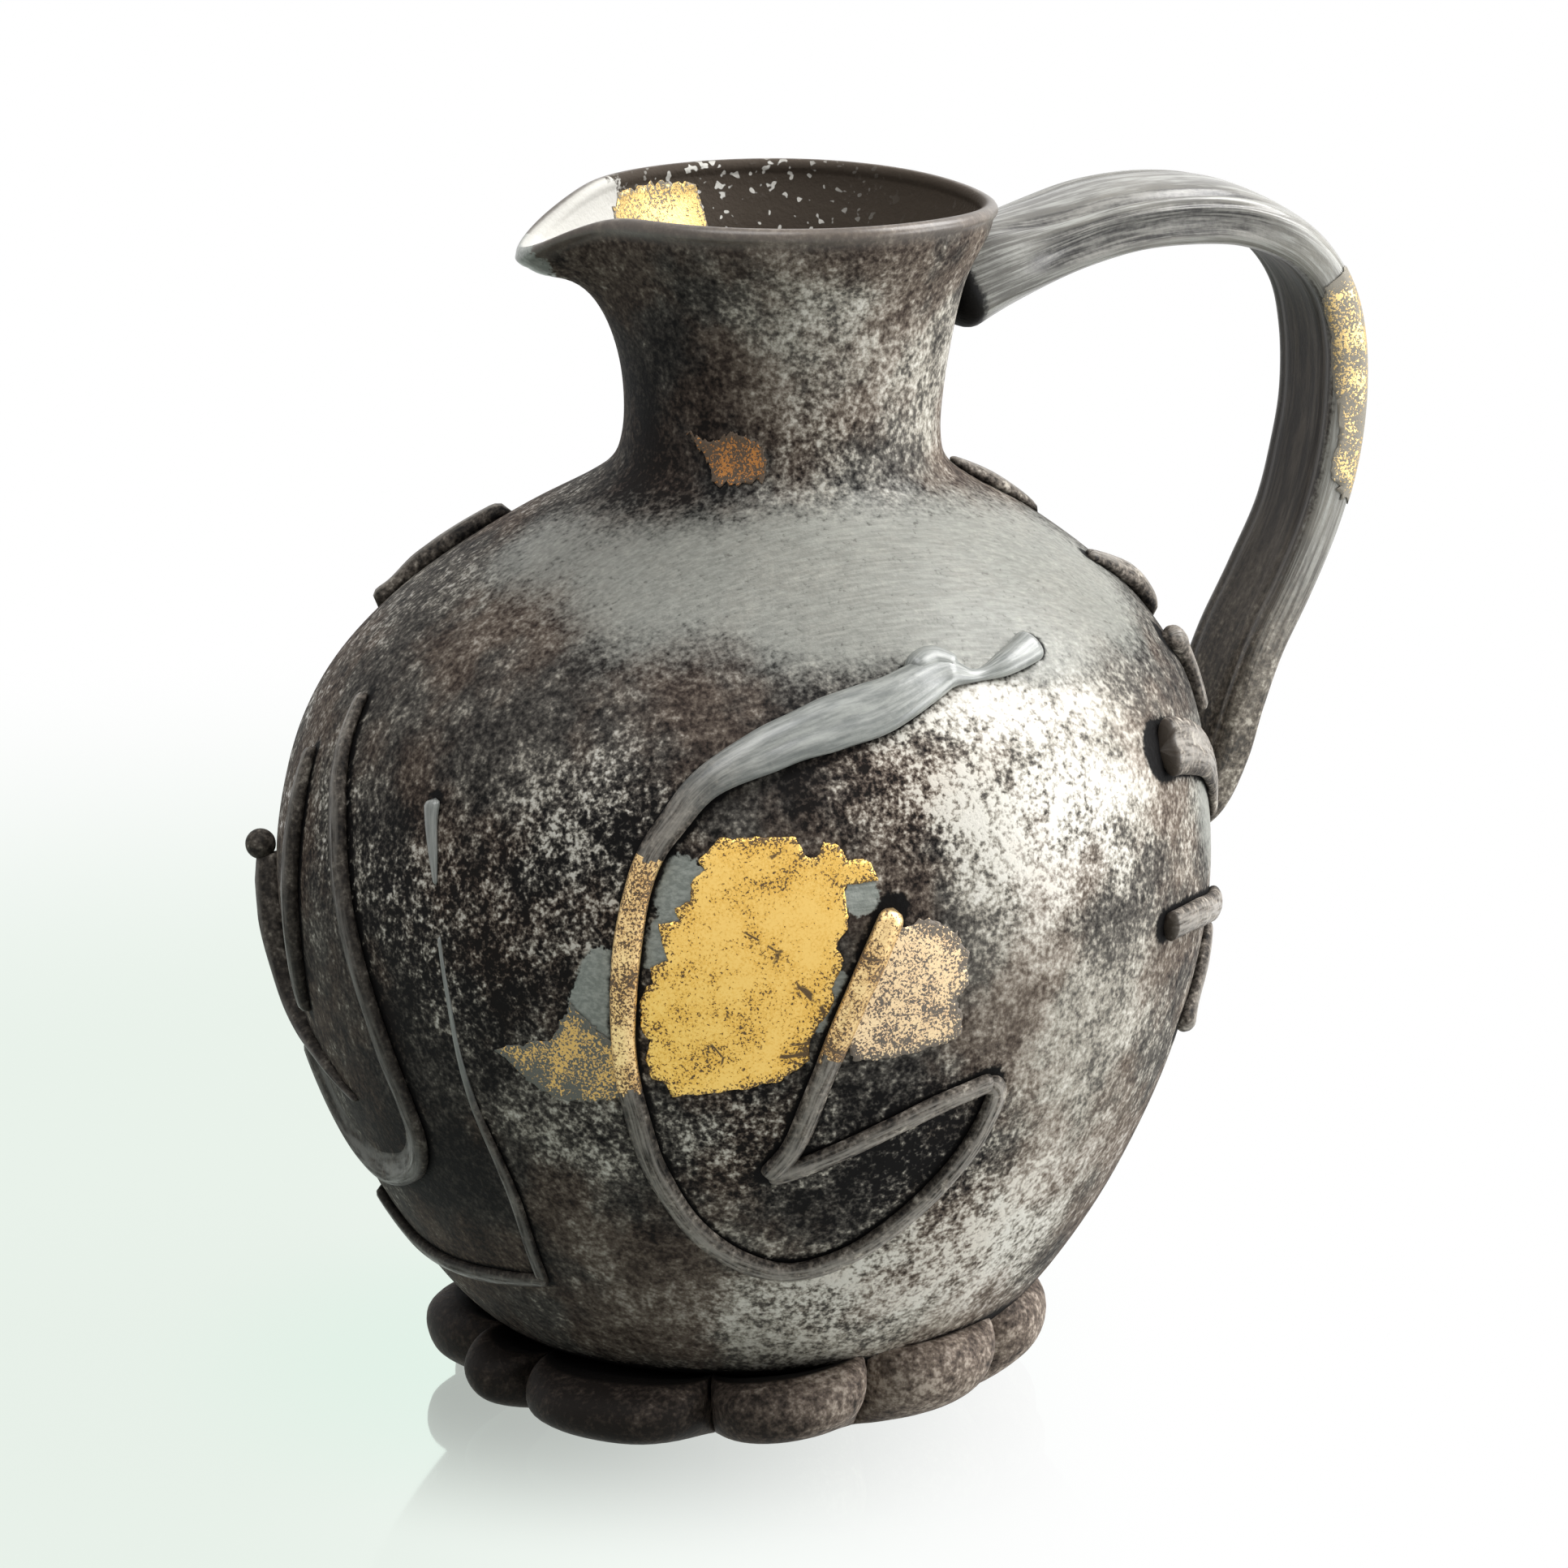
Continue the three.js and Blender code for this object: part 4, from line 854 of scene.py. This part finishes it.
# Gold leaf: torn pieces of beaten foil, picked up on the hot glass and rubbed until they pitted.
# Corners are [turn, height] on the wall, or [share round, distance along] on the handle. Tones are
# the bright and the deep gold, how worn and how ragged it is, and the glass that shows through.
FOIL_LIFT, FOIL_THICKNESS, FOIL_CELL = 0.3, 0.1, 1.8
TEAR_CUTS, COARSE_TEAR, FINE_TEAR, FINE_SHARE = 11, 2.4, 0.9, 0.7
LEAVES = {
    "front_leaf": [
        [-28.5, 147], [-19.5, 147.5], [-18, 143.5], [-16.5, 143], [-16, 146], [-14.5, 146], [-13, 142.5],
        [-10.5, 142], [-9, 137.5], [-13, 137], [-12.5, 128], [-14, 124], [-13, 121], [-14.5, 115],
        [-14, 112.5], [-17, 103], [-17, 98.5], [-20.5, 94], [-26, 92], [-33.5, 90], [-34, 93],
        [-36, 94.5], [-36.5, 100], [-36, 103], [-37, 106], [-36.5, 115], [-35.5, 116], [-35.5, 120],
        [-33.5, 121], [-35, 129], [-32.5, 129.5], [-33, 132.5], [-31, 134], [-31.5, 137.5],
        [-30, 140.5], [-30.5, 142.5],
    ],
    "left_leaf": [
        [-56.5, 97.5], [-48, 101.5], [-45.5, 110.5], [-42.5, 104.5], [-38, 99], [-38, 89.5], [-48, 87],
        [-52, 90.5],
    ],
    "right_leaf": [
        [-8, 127], [-4.5, 128], [-2.5, 129], [-1, 127], [1, 125], [2.5, 120], [2.5, 113.5], [1, 109.5],
        [2, 107], [2, 101.5], [-1.5, 99.5], [-8, 98], [-12, 98], [-12.5, 104], [-11, 113],
    ],
    "neck_leaf": [
        [-61.5, 220], [-50, 218], [-43, 221], [-35, 219.5], [-30, 214.5], [-31, 210.5], [-48, 209],
        [-53, 214.5],
    ],
    "spout_leaf": [
        [-140, 258], [-146, 263.5], [-162, 264], [-178, 263], [-179, 248], [-162, 245], [-143, 248],
    ],
}
HANDLE_LEAF = [
    [-0.03, 103], [0.1, 102], [0.2, 110], [0.22, 140], [0.16, 156], [0.0, 154], [-0.04, 146],
    [-0.03, 137], [-0.09, 128], [-0.1, 108],
]


def torn_foil(name, corners, ragged, place):
    """Thin sheet with a torn outline, cut into small cells so that it can lie on a round wall."""
    bm = bmesh.new()
    verts = [bm.verts.new((x, y, 0)) for x, y in corners]
    edges = [bm.edges.new(pair) for pair in zip(verts, verts[1:] + verts[:1])]
    bmesh.ops.subdivide_edges(bm, edges=edges, cuts=TEAR_CUTS)
    for vert in bm.verts:
        fine_shift = FINE_SHARE * noise.noise_vector(vert.co / FINE_TEAR)
        shift = noise.noise_vector(vert.co / COARSE_TEAR) + fine_shift
        vert.co += Vector((shift.x, shift.y, 0)) * ragged
    outline = search_tree([vert.co for vert in bm.verts])
    bmesh.ops.contextual_create(bm, geom=bm.edges[:])
    bmesh.ops.triangulate(bm, faces=bm.faces[:])
    spans = np.array([v.co for v in bm.verts])
    for axis in (0, 1):
        normal = [float(axis == i) for i in range(3)]
        for level in np.arange(spans[:, axis].min(), spans[:, axis].max(), FOIL_CELL):
            bmesh.ops.bisect_plane(bm, geom=bm.verts[:] + bm.edges[:] + bm.faces[:],
                                   plane_co=[level * n for n in normal], plane_no=normal)
    bmesh.ops.triangulate(bm, faces=[f for f in bm.faces if len(f.verts) > 4])
    layer_of(bm, "edge", [outline.find(vert.co)[2] for vert in bm.verts])
    leaf = make_piece("torn_" + name, bm, place, "gold_foil", name)
    sheet = leaf.modifiers.new("foil", "SOLIDIFY")
    sheet.thickness = FOIL_THICKNESS * MM
    sheet.offset = 0
    return leaf


def wall_foil(points):
    return on_wall(points[:, 0] / BELLY_ARC, points[:, 1], FOIL_LIFT)


def inner_foil(points):
    inside = -wall_thickness(points[:, 1]) - FOIL_LIFT
    return on_wall(points[:, 0] / BELLY_ARC, points[:, 1], inside)


def strap_foil(points):
    return wobble(strap_place(points[:, 0] / STRAP_GIRTH, points[:, 1], FOIL_LIFT), *STRAP_WOBBLE)


FOIL_TONES = {
    "front_leaf": (0xEFC974, 0xDFB052, 0.12, 0.5, 0x6B5230),
    "left_leaf": (0xC9A566, 0xB39363, 0.26, 0.9, 0x70716A),
    "right_leaf": (0xF5DDB2, 0xE3BC92, 0.21, 0.7, 0x786E63),
    "neck_leaf": (0xA5713F, 0x76573F, 0.25, 1.4, 0x584838),
    "spout_leaf": (0xB79C66, 0xA88B55, 0.14, 1.5, 0x857C6B),
    "handle_leaf": (0xE3C68A, 0xC9A363, 0.3, 1.2, 0x8A8478),
}


def lay_leaf(name, corners, place):
    tone, deep, wear, ragged, bare = FOIL_TONES[name]
    leaf = torn_foil(name, corners, ragged, place)
    leaf.data.materials.append(gold_finish("gold_" + name, tone, deep, wear, bare))


for name, corners in LEAVES.items():
    lay_leaf(name, [(turn * BELLY_ARC, height) for turn, height in corners],
             inner_foil if name == "spout_leaf" else wall_foil)
lay_leaf("handle_leaf", [(share * STRAP_GIRTH, run) for share, run in HANDLE_LEAF], strap_foil)

# Stage: a pale glass table that mirrors the foot, under soft daylight from the right. It is greener at
# the left and painted darker there as shade, and goes over into plain white at the right and far away.
TABLE_SIZE, WHITE_FROM, WHITE_AT, MIRROR_FROM, MIRROR_AT = 6, 0.3, 0.75, 0.15, 0.06
PICTURE_RIGHT, LEFT_WHITENESS, MIRROR_SHARE, ROOM_LIGHT = (0.906, -0.423, 0), 0.9, 0.6, 0.12
LENS, SENSOR = 195.73, 36
CAMERA_PLACE, CAMERA_TILT, CAMERA_TURN = (-0.7751, -1.6835, 0.5857), 76.32, -25
bm = bmesh.new()
bmesh.ops.create_grid(bm, x_segments=1, y_segments=1, size=TABLE_SIZE)
table_mesh = bpy.data.meshes.new("table")
bm.to_mesh(table_mesh)
bm.free()
table = bpy.data.objects.new("table", table_mesh)
bpy.context.scene.collection.objects.link(table)
pale, tree, shader = new_finish("pale_table", Roughness=0.06)
coords = object_place(tree)
to_right = node(tree, "VectorMath", {0: coords, 1: PICTURE_RIGHT},
                operation="DOT_PRODUCT").outputs["Value"]
far = node(tree, "VectorMath", {0: coords}, operation="LENGTH").outputs["Value"]
# Painted shade: the table's colour is darker and greener at the left
side = stepped(tree, to_right, -0.12, 0.1)
tree.links.new(mixed(tree, side, colour(0x7C857F), colour(0xC4C8C5)), shader.inputs["Base Color"])
light_path = node(tree, "LightPath").outputs
distant = stepped(tree, far, WHITE_FROM, WHITE_AT)
tint = mixed(tree, sums(tree, "MAXIMUM", side, distant), colour(0xEFF8F0), (1, 1, 1, 1))
white = node(tree, "Emission", {"Color": tint, "Strength": 1.0}).outputs[0]
whiteness = between(tree, sums(tree, "MAXIMUM", distant, side), LEFT_WHITENESS, 1.0)
mirrored = sums(tree, "MAXIMUM", light_path["Is Glossy Ray"], light_path["Is Transmission Ray"])
gleam = node(tree, "BsdfGlossy", {"Color": colour(0xDBF1E4), "Roughness": 0.05}).outputs[0]
by_foot = stepped(tree, far, MIRROR_FROM, MIRROR_AT)
close = sums(tree, "MULTIPLY", by_foot, scaled(tree, side, -1.0, 1.0))
close = sums(tree, "MULTIPLY", scaled(tree, close, MIRROR_SHARE), light_path["Is Camera Ray"])
seen = sums(tree, "MAXIMUM", mirrored, sums(tree, "MULTIPLY", light_path["Is Camera Ray"], whiteness))
lit = node(tree, "MixShader", {0: seen, 1: shader.outputs[0], 2: white}).outputs[0]
tree.links.new(node(tree, "MixShader", {0: close, 1: lit, 2: gleam}).outputs[0],
               tree.nodes["Material Output"].inputs["Surface"])
table_mesh.materials.append(pale)

world = bpy.data.worlds.new("white_room")
bpy.context.scene.world = world
world.use_nodes = True
tree = world.node_tree
light_path = node(tree, "LightPath").outputs
plain = sums(tree, "MAXIMUM", light_path["Is Camera Ray"],
             sums(tree, "MAXIMUM", light_path["Is Glossy Ray"], light_path["Is Transmission Ray"]))
tree.links.new(between(tree, plain, ROOM_LIGHT, 1.0), tree.nodes["Background"].inputs["Strength"])
tree.nodes["Background"].inputs["Color"].default_value = (1, 1, 1, 1)


def soft_light(name, place, target, size, power):
    lamp = bpy.data.lights.new(name, "AREA")
    lamp.shape = "DISK"
    lamp.size = size
    lamp.energy = power
    made = bpy.data.objects.new(name, lamp)
    bpy.context.scene.collection.objects.link(made)
    made.location = place
    made.rotation_euler = (Vector(target) - Vector(place)).to_track_quat("-Z", "Y").to_euler()


soft_light("window", (0.82, -0.22, 0.99), (0, 0, 0.14), 0.9, 17)
soft_light("overhead", (-0.4, -0.3, 1.2), (0, 0, 0.15), 0.8, 7)
soft_light("low_card", (0.9, -0.56, 0.16), (0, 0, 0.1), 0.8, 8.5)

camera_data = bpy.data.cameras.new("photograph_view")
camera_data.lens = LENS
camera_data.sensor_width = SENSOR
camera = bpy.data.objects.new("photograph_view", camera_data)
bpy.context.scene.collection.objects.link(camera)
camera.location = CAMERA_PLACE
camera.rotation_euler = (math.radians(CAMERA_TILT), 0, math.radians(CAMERA_TURN))
bpy.context.scene.camera = camera
bpy.context.scene.view_settings.view_transform = "Standard"
